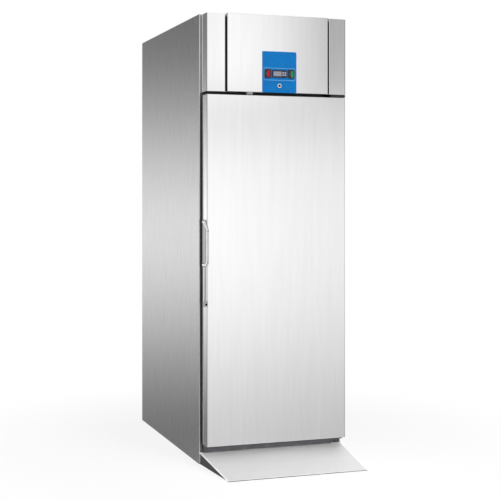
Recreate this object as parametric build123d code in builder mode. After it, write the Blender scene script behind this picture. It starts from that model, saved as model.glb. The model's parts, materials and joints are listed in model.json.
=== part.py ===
from build123d import *
import os
from math import cos, radians, sin, tan

os.makedirs("parts", exist_ok=True)

# Roll-in refrigerator for one trolley. Millimetres, +Z up, the door faces -Y.
# The origin is the middle of the cabinet's footprint, on the room floor.

# Cabinet shell
WIDTH = 760.0            # outside, over the side panels
DEPTH = 1198.0           # outside, front flanges to rear panel
HEIGHT = 2235.0          # side panels, floor to top edge
SHEET = 1.2              # outer sheet gauge
LINER = 1.0              # inner sheet gauge
WALL = 60.0              # insulated side and rear wall, outside to chamber
FLANGE = 12.0            # front and rear flanges of a side panel
TOP_FLANGE = 15.0        # folded top edges round the machine space
BEND = 2.0               # outside radius of a folded edge
MACHINE_HEIGHT = 385.0   # machine space, deck to top edge
CEILING_WALL = 60.0      # insulated ceiling, deck to chamber
FLOOR_TOP = 58.5         # trolley floor above the room floor
FLOOR_GAUGE = 2.5        # floor plate
DECK_UPTURN = 18.0       # folded front edge of the machine deck
EASE = 0.3               # gap at a sheet that slips between two others

# Door frame strips
FRAME_GAUGE = 3.0        # wall of the strip round the doorway
FRAME_RETURN = 24.0      # depth of the strip's leg along the chamber
FRAME_BEND = 4.0         # outside radius of the strip's corner

# Door
DOOR_INSET = 12.0        # door edge inside the cabinet's side, each side
DOOR_THICK = 75.0
DOOR_GAP = 20.0          # door back to frame, filled by the gasket
DOOR_BOTTOM = 102.0      # above the room floor
DOOR_TO_FASCIA = 14.5    # slot between door top and fascia
DOOR_CORNER = 6.0        # radius of the upright front edges
DOOR_EDGE = 2.0          # radius of the other front edges
PLUG_RISE = 14.0         # raised field on the inside of the door
PLUG_INSET = 76.0        # raised field in from the door's edges
PLUG_TAPER = 35.0        # degrees
PLUG_CORNER = 20.0       # raised field's corner radius
PLUG_WALL = 1.8          # foam's edge in from the raised field's edge
GASKET_INSET = 22.0      # gasket in from the door's edges
GASKET_WIDTH = 18.0
GASKET_BASE = 4.0        # part of the gasket that lies on the door
GASKET_NECK = 8.0        # width and height of the bellows
GASKET_GAP = 0.4         # magnet face to frame when closed
SWEEP_GAP = 0.8          # bottom blade above the trolley floor
SWEEP_THICK = 9.0
SWEEP_STRIP = 46.0       # height of the blade's holding strip
SWEEP_MARGIN = 6.0       # strip's ends from the door's edge and the hinge arm

# Door hinges, one pin at each end of the door's right edge
PIVOT_INSET = 20.0       # pin axis in from the door's right edge
PIN_R = 6.0
PIN_LENGTH = 20.0
PIN_CLEARANCE = 0.05     # radial, pin in bush
BUSH_R = 9.0
BUSH_FLANGE_R = 12.0
BUSH_FLANGE = 1.5
ARM_GAUGE = 6.0          # bracket plate
ARM_GAP = 0.5            # bush flange to bracket
LEG_WIDTH = 76.0         # bracket's leg on the frame

# Handle on the door's left edge
HANDLE_TOP = 1216.0
HANDLE_LENGTH = 234.0    # wide part of the base plate
HANDLE_PLATE = 52.0      # width of the base plate
HANDLE_INSET = 5.0       # base plate's rear edge from the door's back
HANDLE_GAUGE = 2.0
STRIP_LENGTH = 191.0     # narrow part, down to the lock
STRIP_WIDTH = 22.0
GRIP_REACH = 36.0        # grip's centre line ahead of the door's face
GRIP_WIDE = 18.0
GRIP_THICK = 10.0
LOCK_SIZE = 24.0         # lock housing, height
LOCK_REACH = 24.0        # lock housing ahead of the door's face
LOCK_HEAD = 34.0         # thick front part of the lock housing
LOCK_FOOT = 5.0          # thickness of its foot on the strip
LOCK_PLUG_R = 5.5
PLUG_CLEARANCE = 0.1

# Fascia
FASCIA_OVER_DECK = -4.0  # fascia's lower edge from the machine deck
FASCIA_TOP_GAP = 5.0     # fascia's top edge below the side panels' top
FASCIA_INSET = 10.0      # corner piece inside the cabinet's side
CORNER_INNER = 104.0     # corner piece's inner edge, in from the cabinet's side
CORNER_STEP = 6.0        # corner piece's inner edge ahead of the door's face
CORNER_BEND = 8.0        # radius of the corner piece's outer bend
GROOVE = 9.0             # between corner piece and service panel
GROOVE_DEPTH = 16.0
GROOVE_BACK = 30.0       # flange that closes the groove, behind the corner piece's front
GROOVE_LAP = 12.0        # the same flange past the service panel's edge
PANEL_STEP = 13.0        # service panel's face ahead of the door's face
PANEL_RISE = 2.0         # service panel's top above the corner pieces
PANEL_DEPTH = 20.0       # folded edges of the service panel
PANEL_BEND = 3.0         # outside radius of those folds
PIVOT_DROP = 10.0        # panel pivots below the panel's top edge
PIVOT_BACK = 15.0        # panel pivots behind the panel's face
PIVOT_R = 3.0
PIVOT_CLEARANCE = 0.07   # radial

# Controls on the service panel
CONTROL_X = 5.0          # middle of the control plate
PLATE_MARGIN = 11.25     # control plate past the rockers' frames, each side
PLATE_HEIGHT = 205.0
PLATE_GAUGE = 1.2
PLATE_CORNER = 6.0
ROW_OVER_EDGE = 94.0     # display and rockers above the fascia's lower edge
CONTROLLER_WIDTH = 77.0  # front bezel
CONTROLLER_HEIGHT = 37.0
CONTROLLER_PROUD = 3.3
CONTROLLER_RIM = (3.0, 4.0)   # bezel past the body, each side
CONTROLLER_DEPTH = 58.0
WINDOW_WIDTH = 45.0
WINDOW_HEIGHT = 25.0
WINDOW_SINK = 0.8
KEY_SIZE = 8.6
KEY_PITCH = 11.5
KEY_PROUD = 1.2
KEY_THICK = 4.1
KEY_TRAVEL = 0.8
KEY_GAP = 0.3
ROCKER_GAP = 7.0         # display's bezel to a rocker's frame
ROCKER_OPENING = (24.0, 32.0)
ROCKER_WALL = 3.0        # rocker's body round its opening
ROCKER_RIM = (2.0, 2.5)  # rocker's frame past its body, each side
ROCKER_DEPTH = 24.0
ROCKER_SIDE_GAP = 1.0    # rocking cap to its opening, left and right
ROCKER_RISE = 5.0        # cap's wing tips in front of its pivot
ROCKER_TILT = 7.0        # degrees either side of level
CAM_OVER_EDGE = 35.0     # lock centre above the fascia's lower edge
BARREL_R = 9.5
BARREL_FLANGE_R = 11.0
CAM_PLUG_R = 6.5
CAM_REACH = 26.0
CAM_WIDTH = 9.0
CAM_GAUGE = 2.0
LIP_HEIGHT = 15.0        # upturned lip that the cam hooks behind

# Ramp
RAMP_LENGTH = 392.0
RAMP_TAPER = 25.0        # each side, body to front lip
RAMP_GAUGE = 3.0

# Chamber fittings
RAIL_THICK = 8.0
RAIL_STAND = 6.0
RAIL_HEIGHT = 40.0
RAIL_FRONT = 119.0       # rails' front end from the cabinet's front
RAIL_GAP = 40.0          # rails' rear end to the duct cover
DUCT_DEPTH = 209.0       # duct cover's face to the rear liner
DUCT_FOOT = 111.5        # open slot under the duct cover
DUCT_RETURN = 20.0
FAN_RADIUS = 97.0
FAN_TIP_GAP = 6.0        # fan wheel to its opening
FAN_SPACING = 150.0      # each evaporator fan from the middle
FAN_DROP = 230.0         # evaporator fans below the ceiling
FAN_HUB = 24.0
FAN_DEPTH = 26.0
FAN_BLADES = 5
BLADE_PITCH = 32.0       # degrees from the wheel's plane
BLADE_GAUGE = 1.5
BLADE_CAMBER = 0.2       # sag of a blade's arc, share of half its chord
BLADE_TAPER = 0.55       # blade's root width, share of its tip width
BLADE_LAP = 3.0          # blade's root inside the hub
MOTOR_R = 36.0
MOTOR_LENGTH = 58.0
MOTOR_GAP = 6.0          # fan wheel to motor
ARM_THICK = 4.0          # motor carrier's arms
SHAFT_R = 4.0
SHAFT_CLEARANCE = 0.05
WIRE_R = 1.6
GUARD_RINGS = (1.0, 0.68, 0.36)

# Machine space
CONDENSER = (330.0, 90.0, 300.0)
CONDENSER_X = 125.0
CONDENSER_FACE = 269.0   # condenser's front behind the cabinet's front
COOLING_FAN_R = 105.0
SHROUD_DEPTH = 32.0
COMPRESSOR_R = 95.0
COMPRESSOR_HEIGHT = 212.0
COMPRESSOR_AT = (-190.0, 60.0)
MOUNT_HEIGHT = 15.0
DISCHARGE_R = 5.0
LIQUID_R = 5.0
SUCTION_R = 8.0
LINE_CLEARANCE = 2.0
DRAIN_R = 8.0
DRAIN_HEIGHT = 150.0
DRAIN_SPIGOT = 28.0
SPIGOT_R = 9.5
SCREW_R = 2.5
SCREW_HEAD_R = 5.0
SCREW_HEAD = 2.4
GLAND_BORE = 5.0

# Reference planes worked out from the sizes above
X_OUT = WIDTH / 2
Y_FRONT = -DEPTH / 2
Y_BACK = DEPTH / 2
CHAMBER_X = X_OUT - WALL
CHAMBER_BACK = Y_BACK - WALL
DECK_TOP = HEIGHT - MACHINE_HEIGHT
CEILING = DECK_TOP - CEILING_WALL
FOAM_X = X_OUT - SHEET
FOAM_BACK = Y_BACK - SHEET
FRAME_BACK = Y_FRONT + FRAME_RETURN
FRAME_FOAM = Y_FRONT + FRAME_GAUGE
FRAME_X = X_OUT - FLANGE
DOOR_X = X_OUT - DOOR_INSET
DOOR_BACK = Y_FRONT - DOOR_GAP
DOOR_FRONT = DOOR_BACK - DOOR_THICK
FASCIA_BOTTOM = DECK_TOP + FASCIA_OVER_DECK
FASCIA_TOP = HEIGHT - FASCIA_TOP_GAP
DOOR_TOP = FASCIA_BOTTOM - DOOR_TO_FASCIA
PIVOT_X = DOOR_X - PIVOT_INSET
PIVOT_Y = (DOOR_FRONT + DOOR_BACK) / 2
GRILLE_SCREWS = [DECK_TOP + 30 + i * (MACHINE_HEIGHT - 60) / 3 for i in range(4)]
DUCT_FACE = CHAMBER_BACK - DUCT_DEPTH
FAN_Z = CEILING - FAN_DROP
FAN_OPENING = FAN_RADIUS + FAN_TIP_GAP
LINE_Y = CHAMBER_BACK - 84
LIQUID_X = -60.0
SUCTION_X = 20.0
CONTROLLER_BODY = (
    CONTROLLER_WIDTH - 2 * CONTROLLER_RIM[0],
    CONTROLLER_HEIGHT - 2 * CONTROLLER_RIM[1],
)
ROCKER_BODY = [size + 2 * ROCKER_WALL for size in ROCKER_OPENING]
ROCKER_FRAME = [size + 2 * rim for size, rim in zip(ROCKER_BODY, ROCKER_RIM)]
ROCKER_SPACING = CONTROLLER_WIDTH / 2 + ROCKER_GAP + ROCKER_FRAME[0] / 2
ROCKER_WING = ROCKER_OPENING[0] / 2 - ROCKER_SIDE_GAP
PLATE_WIDTH = 2 * (ROCKER_SPACING + ROCKER_FRAME[0] / 2 + PLATE_MARGIN)


def finish_piece(builder, name):
    """Labels a finished piece and writes it to its own file."""
    builder.part.label = name
    export_step(builder.part, f"parts/{name}.step")


def block(x, y, z, mode=Mode.ADD):
    """Adds or cuts a straight block in the open part, from its low and high ends."""
    with BuildSketch(Plane.XY.offset(z[0])) as section:
        with Locations(((x[0] + x[1]) / 2, (y[0] + y[1]) / 2)):
            Rectangle(x[1] - x[0], y[1] - y[0])
    extrude(section.sketch, amount=z[1] - z[0], mode=mode)


def bent_sheet(points, gauge, side, radius=BEND):
    """Adds the cross-section of a folded sheet to the open sketch, from its outer line."""
    with BuildLine() as profile:
        FilletPolyline(*points, radius=radius)
        offset(amount=gauge, side=side)
    make_face(profile.edges())


def outline(*points):
    """Adds a straight-sided face to the open sketch."""
    Polygon(*points, align=None)


def mirrored(source):
    """Makes the opposite hand of a finished piece."""
    with BuildPart() as twin:
        mirror(source.part, about=Plane.YZ)
    return twin


def moved(sketch, z):
    """Copies a flat sketch to another height."""
    return Pos(0, 0, z) * sketch


def tube(points, radius, bend):
    """Makes a tube along straight runs joined by arcs."""
    with BuildPart() as pipe:
        with BuildLine() as route:
            FilletPolyline(*points, radius=bend)
        with BuildSketch(Plane(origin=route.line @ 0, z_dir=route.line % 0)):
            Circle(radius)
        sweep()
    return pipe


# Cabinet shell

with BuildPart() as side_panel_left:
    with BuildSketch(Plane.XY):
        bent_sheet(
            [
                (-X_OUT + FLANGE, Y_FRONT),
                (-X_OUT, Y_FRONT),
                (-X_OUT, Y_BACK),
                (-X_OUT + FLANGE, Y_BACK),
            ],
            SHEET,
            Side.RIGHT,
        )
    extrude(amount=HEIGHT)
    block(
        (-X_OUT + SHEET / 2, -X_OUT + TOP_FLANGE),
        (Y_FRONT + SHEET / 2, Y_BACK - SHEET / 2),
        (HEIGHT - SHEET, HEIGHT),
    )
    with Locations(
        *[
            Plane(origin=(-X_OUT + FLANGE / 2, Y_BACK, z), z_dir=(0, 1, 0))
            for z in GRILLE_SCREWS
        ]
    ):
        Hole(radius=SCREW_R, depth=3 * SHEET)
side_panel_right = mirrored(side_panel_left)
finish_piece(side_panel_left, "side_panel_left")
finish_piece(side_panel_right, "side_panel_right")

with BuildPart() as rear_panel:
    block((-FRAME_X + EASE, FRAME_X - EASE), (FOAM_BACK, Y_BACK), (0, DECK_TOP))
    with Locations(Plane(origin=(0, Y_BACK, DRAIN_HEIGHT), z_dir=(0, 1, 0))):
        Hole(radius=DRAIN_R + LINE_CLEARANCE, depth=3 * SHEET)
finish_piece(rear_panel, "rear_panel")

# Louvred panel that closes the machine space at the back
LOUVRE_WIDTH = 150.0
LOUVRE_DROP = 12.0
LOUVRE_RISE = 7.0
LOUVRE_PITCH = (200.0, 30.0)
LOUVRE_ROWS = 7
GRILLE_Y = (FOAM_BACK - SHEET, FOAM_BACK)
GRILLE_X = FOAM_X - BEND
GLAND_AT = (X_OUT - 80, DECK_TOP + 35)
GLAND_R = 10.0

with BuildPart() as louvre_hood:
    with BuildSketch(Plane.YZ.offset(-LOUVRE_WIDTH / 2)):
        outline(
            (0, LOUVRE_DROP / 2),
            (LOUVRE_RISE, -LOUVRE_DROP / 2),
            (0, -LOUVRE_DROP / 2),
        )
    extrude(amount=LOUVRE_WIDTH)
    offset(
        amount=-SHEET,
        openings=[
            louvre_hood.faces().sort_by(Axis.Z)[0],
            louvre_hood.faces().sort_by(Axis.Y)[0],
        ],
    )

with BuildPart() as rear_grille:
    block(
        (-GRILLE_X, GRILLE_X),
        GRILLE_Y,
        (DECK_TOP + EASE, HEIGHT - SHEET - EASE),
    )
    block(
        (-GRILLE_X, GRILLE_X),
        (GRILLE_Y[1] - TOP_FLANGE, GRILLE_Y[1]),
        (HEIGHT - 2 * SHEET - EASE, HEIGHT - SHEET - EASE),
    )
    with BuildSketch(Plane.XZ.offset(-GRILLE_Y[1])):
        with Locations((0, DECK_TOP + MACHINE_HEIGHT / 2 + LOUVRE_DROP)):
            with GridLocations(*LOUVRE_PITCH, 3, LOUVRE_ROWS):
                Rectangle(LOUVRE_WIDTH - 2 * SHEET, LOUVRE_DROP - 2 * SHEET)
    extrude(amount=SHEET, mode=Mode.SUBTRACT)
    for column in (-1, 0, 1):
        for row in range(LOUVRE_ROWS):
            z = DECK_TOP + MACHINE_HEIGHT / 2 + LOUVRE_DROP
            z += (row - (LOUVRE_ROWS - 1) / 2) * LOUVRE_PITCH[1]
            with Locations((column * LOUVRE_PITCH[0], GRILLE_Y[1], z)):
                add(louvre_hood.part)
    screw_x = X_OUT - FLANGE / 2
    with Locations(
        *[
            Plane(origin=(s * screw_x, GRILLE_Y[1], z), z_dir=(0, 1, 0))
            for s in (-1, 1)
            for z in GRILLE_SCREWS
        ]
    ):
        Hole(radius=SCREW_R, depth=2 * SHEET)
    with Locations(Plane(origin=(GLAND_AT[0], GRILLE_Y[1], GLAND_AT[1]), z_dir=(0, 1, 0))):
        Hole(radius=GLAND_R, depth=2 * SHEET)
finish_piece(rear_grille, "rear_grille")

with BuildPart() as cable_gland:
    gland_plane = Plane(
        origin=(GLAND_AT[0], GRILLE_Y[1], GLAND_AT[1]), x_dir=(-1, 0, 0), z_dir=(0, 1, 0)
    )
    with BuildSketch(gland_plane):
        RegularPolygon(radius=GLAND_R + 3, side_count=6)
    extrude(amount=6)
    with BuildSketch(gland_plane.offset(6)):
        Circle(GLAND_R + 1)
    extrude(amount=14)
    with BuildSketch(gland_plane.offset(-14)):
        Circle(GLAND_R)
    extrude(amount=14)
    with BuildSketch(gland_plane.offset(-SHEET - 5)):
        RegularPolygon(radius=GLAND_R + 3, side_count=6)
    extrude(amount=5)
    with Locations(gland_plane.offset(20)):
        Hole(radius=GLAND_BORE, depth=34)
finish_piece(cable_gland, "cable_gland")

with BuildPart() as base_plate:
    block((-FOAM_X, FOAM_X), (FRAME_FOAM, FOAM_BACK), (0, SHEET))
    block((-FRAME_X + EASE, FRAME_X - EASE), (Y_FRONT, FRAME_FOAM), (0, SHEET))
finish_piece(base_plate, "base_plate")

with BuildPart() as floor_plate:
    with BuildSketch(Plane.YZ.offset(-FRAME_X + EASE)):
        bent_sheet(
            [
                (Y_FRONT, SHEET + EASE),
                (Y_FRONT, FLOOR_TOP),
                (FOAM_BACK, FLOOR_TOP),
            ],
            FLOOR_GAUGE,
            Side.RIGHT,
            radius=FLOOR_GAUGE,
        )
    extrude(amount=2 * (FRAME_X - EASE))
    for s in (-1, 1):
        block(
            sorted((s * (FRAME_X - EASE), s * (FOAM_X - EASE))),
            (FRAME_FOAM, FOAM_BACK),
            (FLOOR_TOP - FLOOR_GAUGE, FLOOR_TOP),
        )
finish_piece(floor_plate, "floor_plate")

with BuildPart() as machine_deck:
    with BuildSketch(Plane.YZ.offset(-FOAM_X + EASE)):
        bent_sheet(
            [
                (FRAME_FOAM, DECK_TOP + DECK_UPTURN),
                (FRAME_FOAM, DECK_TOP - SHEET),
                (FOAM_BACK, DECK_TOP - SHEET),
            ],
            SHEET,
            Side.LEFT,
        )
    extrude(amount=2 * (FOAM_X - EASE))
    with Locations((LIQUID_X, LINE_Y, DECK_TOP)):
        Hole(radius=LIQUID_R + LINE_CLEARANCE, depth=3 * SHEET)
    with Locations((SUCTION_X, LINE_Y, DECK_TOP)):
        Hole(radius=SUCTION_R + LINE_CLEARANCE, depth=3 * SHEET)
finish_piece(machine_deck, "machine_deck")

# Three strips round the doorway: two jambs and the header between the foam and the gasket
with BuildPart() as door_frame:
    with BuildSketch(Plane.XY.offset(FLOOR_TOP)):
        bent_sheet(
            [(-FRAME_X, Y_FRONT), (-CHAMBER_X, Y_FRONT), (-CHAMBER_X, FRAME_BACK)],
            FRAME_GAUGE,
            Side.LEFT,
            radius=FRAME_BEND,
        )
        mirror(about=Plane.YZ)
    extrude(amount=CEILING - FLOOR_TOP)
    with BuildSketch(Plane.YZ.offset(-FRAME_X)):
        bent_sheet(
            [(Y_FRONT, DECK_TOP), (Y_FRONT, CEILING), (FRAME_BACK, CEILING)],
            FRAME_GAUGE,
            Side.LEFT,
            radius=FRAME_BEND,
        )
    extrude(amount=2 * FRAME_X)
finish_piece(door_frame, "door_frame")

# The foam is poured in place, so it takes the shape of the sheets round it
with BuildPart() as body_insulation:
    block(
        (-FOAM_X, FOAM_X),
        (Y_FRONT + FLOOR_GAUGE, FOAM_BACK),
        (SHEET, FLOOR_TOP - FLOOR_GAUGE),
    )
    block((-FOAM_X, FOAM_X), (FRAME_FOAM, FOAM_BACK), (FLOOR_TOP, DECK_TOP - SHEET))
    block(
        (-CHAMBER_X - LINER, CHAMBER_X + LINER),
        (FRAME_FOAM, CHAMBER_BACK + LINER),
        (FLOOR_TOP, CEILING + LINER),
        mode=Mode.SUBTRACT,
    )
    for neighbour in (door_frame, side_panel_left, side_panel_right):
        add(neighbour.part, mode=Mode.SUBTRACT)
    with Locations((LIQUID_X, LINE_Y, DECK_TOP)):
        Hole(radius=LIQUID_R + LINE_CLEARANCE, depth=CEILING_WALL + LINER)
    with Locations((SUCTION_X, LINE_Y, DECK_TOP)):
        Hole(radius=SUCTION_R + LINE_CLEARANCE, depth=CEILING_WALL + LINER)
    with Locations(Plane(origin=(0, Y_BACK, DRAIN_HEIGHT), z_dir=(0, 1, 0))):
        Hole(radius=DRAIN_R + LINE_CLEARANCE, depth=WALL + LINER)
finish_piece(body_insulation, "body_insulation")

with BuildPart() as side_liners:
    for s in (-1, 1):
        block(
            sorted((s * CHAMBER_X, s * (CHAMBER_X + LINER))),
            (FRAME_BACK, CHAMBER_BACK + LINER),
            (FLOOR_TOP, CEILING),
        )
finish_piece(side_liners, "side_liners")

with BuildPart() as liner_rear:
    block(
        (-CHAMBER_X, CHAMBER_X),
        (CHAMBER_BACK, CHAMBER_BACK + LINER),
        (FLOOR_TOP, CEILING),
    )
    with Locations(
        Plane(origin=(0, CHAMBER_BACK + LINER, DRAIN_HEIGHT), z_dir=(0, 1, 0))
    ):
        Hole(radius=DRAIN_R + LINE_CLEARANCE, depth=2 * LINER)
finish_piece(liner_rear, "liner_rear")

with BuildPart() as liner_ceiling:
    block(
        (-CHAMBER_X - LINER, CHAMBER_X + LINER),
        (FRAME_BACK, CHAMBER_BACK + LINER),
        (CEILING, CEILING + LINER),
    )
    with Locations((LIQUID_X, LINE_Y, CEILING + LINER)):
        Hole(radius=LIQUID_R + LINE_CLEARANCE, depth=2 * LINER)
    with Locations((SUCTION_X, LINE_Y, CEILING + LINER)):
        Hole(radius=SUCTION_R + LINE_CLEARANCE, depth=2 * LINER)
finish_piece(liner_ceiling, "liner_ceiling")

# Chamber fittings

RAIL_HEIGHTS = (FLOOR_TOP + 191.5, FLOOR_TOP + 841.5)
rail_ends = (Y_FRONT + RAIL_FRONT, DUCT_FACE - RAIL_GAP)
rail_length = rail_ends[1] - rail_ends[0]
rail_out = CHAMBER_X - RAIL_STAND

with BuildPart() as guide_rails:
    for s in (-1, 1):
        for z in RAIL_HEIGHTS:
            rail_plane = Plane(
                origin=(s * rail_out, sum(rail_ends) / 2, z), x_dir=(0, 1, 0), z_dir=(-s, 0, 0)
            )
            with BuildSketch(rail_plane):
                SlotOverall(rail_length, RAIL_HEIGHT)
            extrude(amount=RAIL_THICK)
            with BuildSketch(rail_plane):
                with GridLocations(rail_length / 2 - RAIL_HEIGHT, 0, 3, 1):
                    RegularPolygon(radius=RAIL_THICK, side_count=6)
            extrude(amount=-RAIL_STAND)
finish_piece(guide_rails, "guide_rails")

fan_planes = [
    Plane(origin=(s * FAN_SPACING, DUCT_FACE, FAN_Z), x_dir=(1, 0, 0), z_dir=(0, -1, 0))
    for s in (-1, 1)
]
SLOT_SIZE = (8.0, 120.0)
SLOT_PITCH = (32.0, 150.0)

with BuildPart() as duct_cover:
    block(
        (-CHAMBER_X, CHAMBER_X),
        (DUCT_FACE, DUCT_FACE + DUCT_RETURN),
        (FLOOR_TOP + DUCT_FOOT, CEILING),
    )
    offset(amount=-SHEET, openings=duct_cover.faces().sort_by(Axis.Y)[-1])
    with BuildSketch(Plane.XZ.offset(-DUCT_FACE)):
        with Locations(*[(s * FAN_SPACING, FAN_Z) for s in (-1, 1)]):
            Circle(FAN_OPENING)
        with Locations((0, FLOOR_TOP + DUCT_FOOT + SLOT_PITCH[1] + 40)):
            with GridLocations(*SLOT_PITCH, 15, 2):
                Rectangle(*SLOT_SIZE)
    extrude(amount=-SHEET, mode=Mode.SUBTRACT)
finish_piece(duct_cover, "duct_cover")


def wire_guard(plane, radius, stand):
    """Makes a round guard of flat wire: rings, spokes and four feet on the plane."""
    front = plane.offset(stand)
    with BuildPart() as guard:
        with BuildSketch(front):
            for share in GUARD_RINGS:
                Circle(radius * share + WIRE_R)
                Circle(radius * share - WIRE_R, mode=Mode.SUBTRACT)
            for turn in (45, 135):
                Rectangle(2 * radius, 2 * WIRE_R, rotation=turn)
        extrude(amount=-2 * WIRE_R)
        with BuildSketch(plane):
            with PolarLocations(radius, 4, start_angle=45):
                Rectangle(4 * WIRE_R, 4 * WIRE_R)
        extrude(amount=stand)
    return guard


guards = [wire_guard(plane, FAN_OPENING + 6, 10) for plane in fan_planes]
with BuildPart() as fan_guards:
    for guard in guards:
        add(guard.part)
finish_piece(fan_guards, "fan_guards")


def pressed_blade(plane, radius, hub, depth):
    """Makes one fan blade: a cambered plate at its pitch, cut to a tapered outline."""
    middle = plane.offset(-depth / 2)
    root = hub - BLADE_LAP
    half = Vector(cos(radians(BLADE_PITCH)), sin(radians(BLADE_PITCH))) * (depth - 2 * BLADE_GAUGE)
    half *= 0.5 / sin(radians(BLADE_PITCH))
    with BuildPart() as blade:
        with BuildSketch(
            Plane(
                origin=middle.origin + middle.x_dir * root,
                x_dir=middle.y_dir,
                z_dir=middle.x_dir,
            )
        ):
            with BuildLine() as camber:
                SagittaArc(-half, half, BLADE_CAMBER * half.length)
                offset(amount=BLADE_GAUGE, side=Side.LEFT)
            make_face(camber.edges())
        extrude(amount=radius)
        with BuildSketch(plane.offset(depth)):
            Circle(radius)
            Polygon(
                (root, -half.X * BLADE_TAPER),
                (1.1 * radius, -half.X),
                (1.1 * radius, half.X),
                (root, half.X * BLADE_TAPER),
                align=None,
                mode=Mode.INTERSECT,
            )
        extrude(amount=-3 * depth, mode=Mode.INTERSECT)
    return blade


def axial_fan(plane, radius, hub, depth, blades):
    """Makes a fan wheel: a chamfered hub with pressed blades round it."""
    blade = pressed_blade(plane, radius, hub, depth)
    with BuildPart() as wheel:
        with BuildSketch(plane):
            Circle(hub)
        extrude(amount=-depth)
        chamfer(wheel.faces().sort_by(Axis.Y)[0].edges(), length=hub / 6)
        for i in range(blades):
            add(blade.part.rotate(Axis(plane.origin, plane.z_dir), i * 360 / blades))
        with Locations(plane):
            Hole(radius=SHAFT_R + SHAFT_CLEARANCE, depth=depth)
    return wheel


def fan_motor(fan_plane, foot, reach, fan_depth):
    """Makes a fan motor with its shaft and a three-armed carrier.

    The plane is the fan's front; the motor stands behind it. The arms reach out past
    the fan and their feet run forward to the sheet that carries them.
    """
    face = fan_plane.offset(-fan_depth - MOTOR_GAP)
    with BuildPart() as motor:
        with BuildSketch(face):
            Circle(MOTOR_R)
        extrude(amount=-MOTOR_LENGTH)
        with BuildSketch(face.offset(-MOTOR_LENGTH)):
            Circle(MOTOR_R * 0.55)
        extrude(amount=-6)
        with BuildSketch(face):
            Circle(SHAFT_R)
        extrude(amount=MOTOR_GAP + fan_depth - 4)
        with BuildSketch(face):
            for turn in (90, 210, 330):
                middle = (reach / 2 * cos(radians(turn)), reach / 2 * sin(radians(turn)))
                with Locations(middle):
                    Rectangle(reach, 12, rotation=turn)
        extrude(amount=-ARM_THICK)
        with BuildSketch(face.offset(-ARM_THICK)):
            with PolarLocations(reach, 3, start_angle=90):
                Rectangle(12, 12)
        extrude(amount=foot + ARM_THICK)
    return motor


FAN_SETBACK = 9.0        # fan wheel behind its opening
evaporator_fan_planes = [plane.offset(-FAN_SETBACK) for plane in fan_planes]
evaporator_fan_left = axial_fan(
    evaporator_fan_planes[0], FAN_RADIUS, FAN_HUB, FAN_DEPTH, FAN_BLADES
)
evaporator_fan_right = axial_fan(
    evaporator_fan_planes[1], FAN_RADIUS, FAN_HUB, FAN_DEPTH, FAN_BLADES
)
finish_piece(evaporator_fan_left, "evaporator_fan_left")
finish_piece(evaporator_fan_right, "evaporator_fan_right")

# Evaporator coil on the rear liner, with the tray and drain under it
COIL_WIDTH = 520.0
COIL_DEPTH = 110.0
COIL_HEIGHT = 420.0
COIL_BACK = 30.0         # coil's back from the rear liner
COIL_BOTTOM = FLOOR_TOP + 561.5
COIL_FRONT = CHAMBER_BACK - COIL_BACK - COIL_DEPTH
COIL_TOP = COIL_BOTTOM + COIL_HEIGHT


def fin_slots(x, y, z, fin_pitch, fin_cut, slot):
    """Cuts upright slots into both faces of the open part's block, leaving fins."""
    count = int((x[1] - x[0] - fin_pitch) / fin_pitch)
    with BuildSketch(Plane.XY.offset(z[0])) as slots:
        for middle in (y[0] + fin_cut / 2, y[1] - fin_cut / 2):
            with Locations(((x[0] + x[1]) / 2, middle)):
                with GridLocations(fin_pitch, 0, count, 1):
                    Rectangle(slot, fin_cut)
    extrude(slots.sketch, amount=z[1] - z[0], mode=Mode.SUBTRACT)


coil_x = (-COIL_WIDTH / 2, COIL_WIDTH / 2)
coil_y = (COIL_FRONT, COIL_FRONT + COIL_DEPTH)
coil_z = (COIL_BOTTOM, COIL_TOP)

with BuildPart() as evaporator_coil:
    block(coil_x, coil_y, coil_z)
    fin_slots(coil_x, coil_y, coil_z, 20, 25, 12)
    for s in (-1, 1):
        with BuildSketch(Plane.YZ.offset(s * COIL_WIDTH / 2)):
            with Locations(((COIL_FRONT + CHAMBER_BACK) / 2, (COIL_BOTTOM + COIL_TOP) / 2)):
                Rectangle(CHAMBER_BACK - COIL_FRONT, COIL_HEIGHT)
        extrude(amount=s * 2)
finish_piece(evaporator_coil, "evaporator_coil")

TRAY_DEPTH = 35.0
TRAY_TOP = COIL_BOTTOM - 20
TRAY_BOTTOM = TRAY_TOP - TRAY_DEPTH
drain_y = (COIL_FRONT + CHAMBER_BACK) / 2

with BuildPart() as drain_tray:
    with BuildSketch(Plane.XY.offset(TRAY_TOP)):
        with Locations((0, (COIL_FRONT - 8 + CHAMBER_BACK) / 2)):
            Rectangle(COIL_WIDTH + 40, CHAMBER_BACK - COIL_FRONT + 8)
    extrude(amount=-TRAY_DEPTH, taper=8)
    offset(amount=-LINER, openings=drain_tray.faces().sort_by(Axis.Z)[-1])
    with BuildSketch(Plane.XY.offset(TRAY_BOTTOM + LINER / 2)):
        with Locations((0, drain_y)):
            Circle(DRAIN_R)
    extrude(amount=DRAIN_HEIGHT - DRAIN_R - TRAY_BOTTOM)
    with BuildSketch(Plane.XZ.offset(-drain_y)):
        with Locations((0, DRAIN_HEIGHT)):
            Circle(DRAIN_R)
    extrude(amount=drain_y - Y_BACK)
    with BuildSketch(Plane.XZ.offset(-Y_BACK)):
        with Locations((0, DRAIN_HEIGHT)):
            Circle(SPIGOT_R)
    extrude(amount=-DRAIN_SPIGOT)
    with Locations((0, drain_y, TRAY_BOTTOM + 2 * LINER)):
        Hole(radius=DRAIN_R - 2, depth=TRAY_BOTTOM - DRAIN_HEIGHT)
    with Locations(
        Plane(origin=(0, Y_BACK + DRAIN_SPIGOT, DRAIN_HEIGHT), z_dir=(0, 1, 0))
    ):
        Hole(radius=DRAIN_R - 2, depth=Y_BACK + DRAIN_SPIGOT - drain_y)
finish_piece(drain_tray, "drain_tray")

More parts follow.
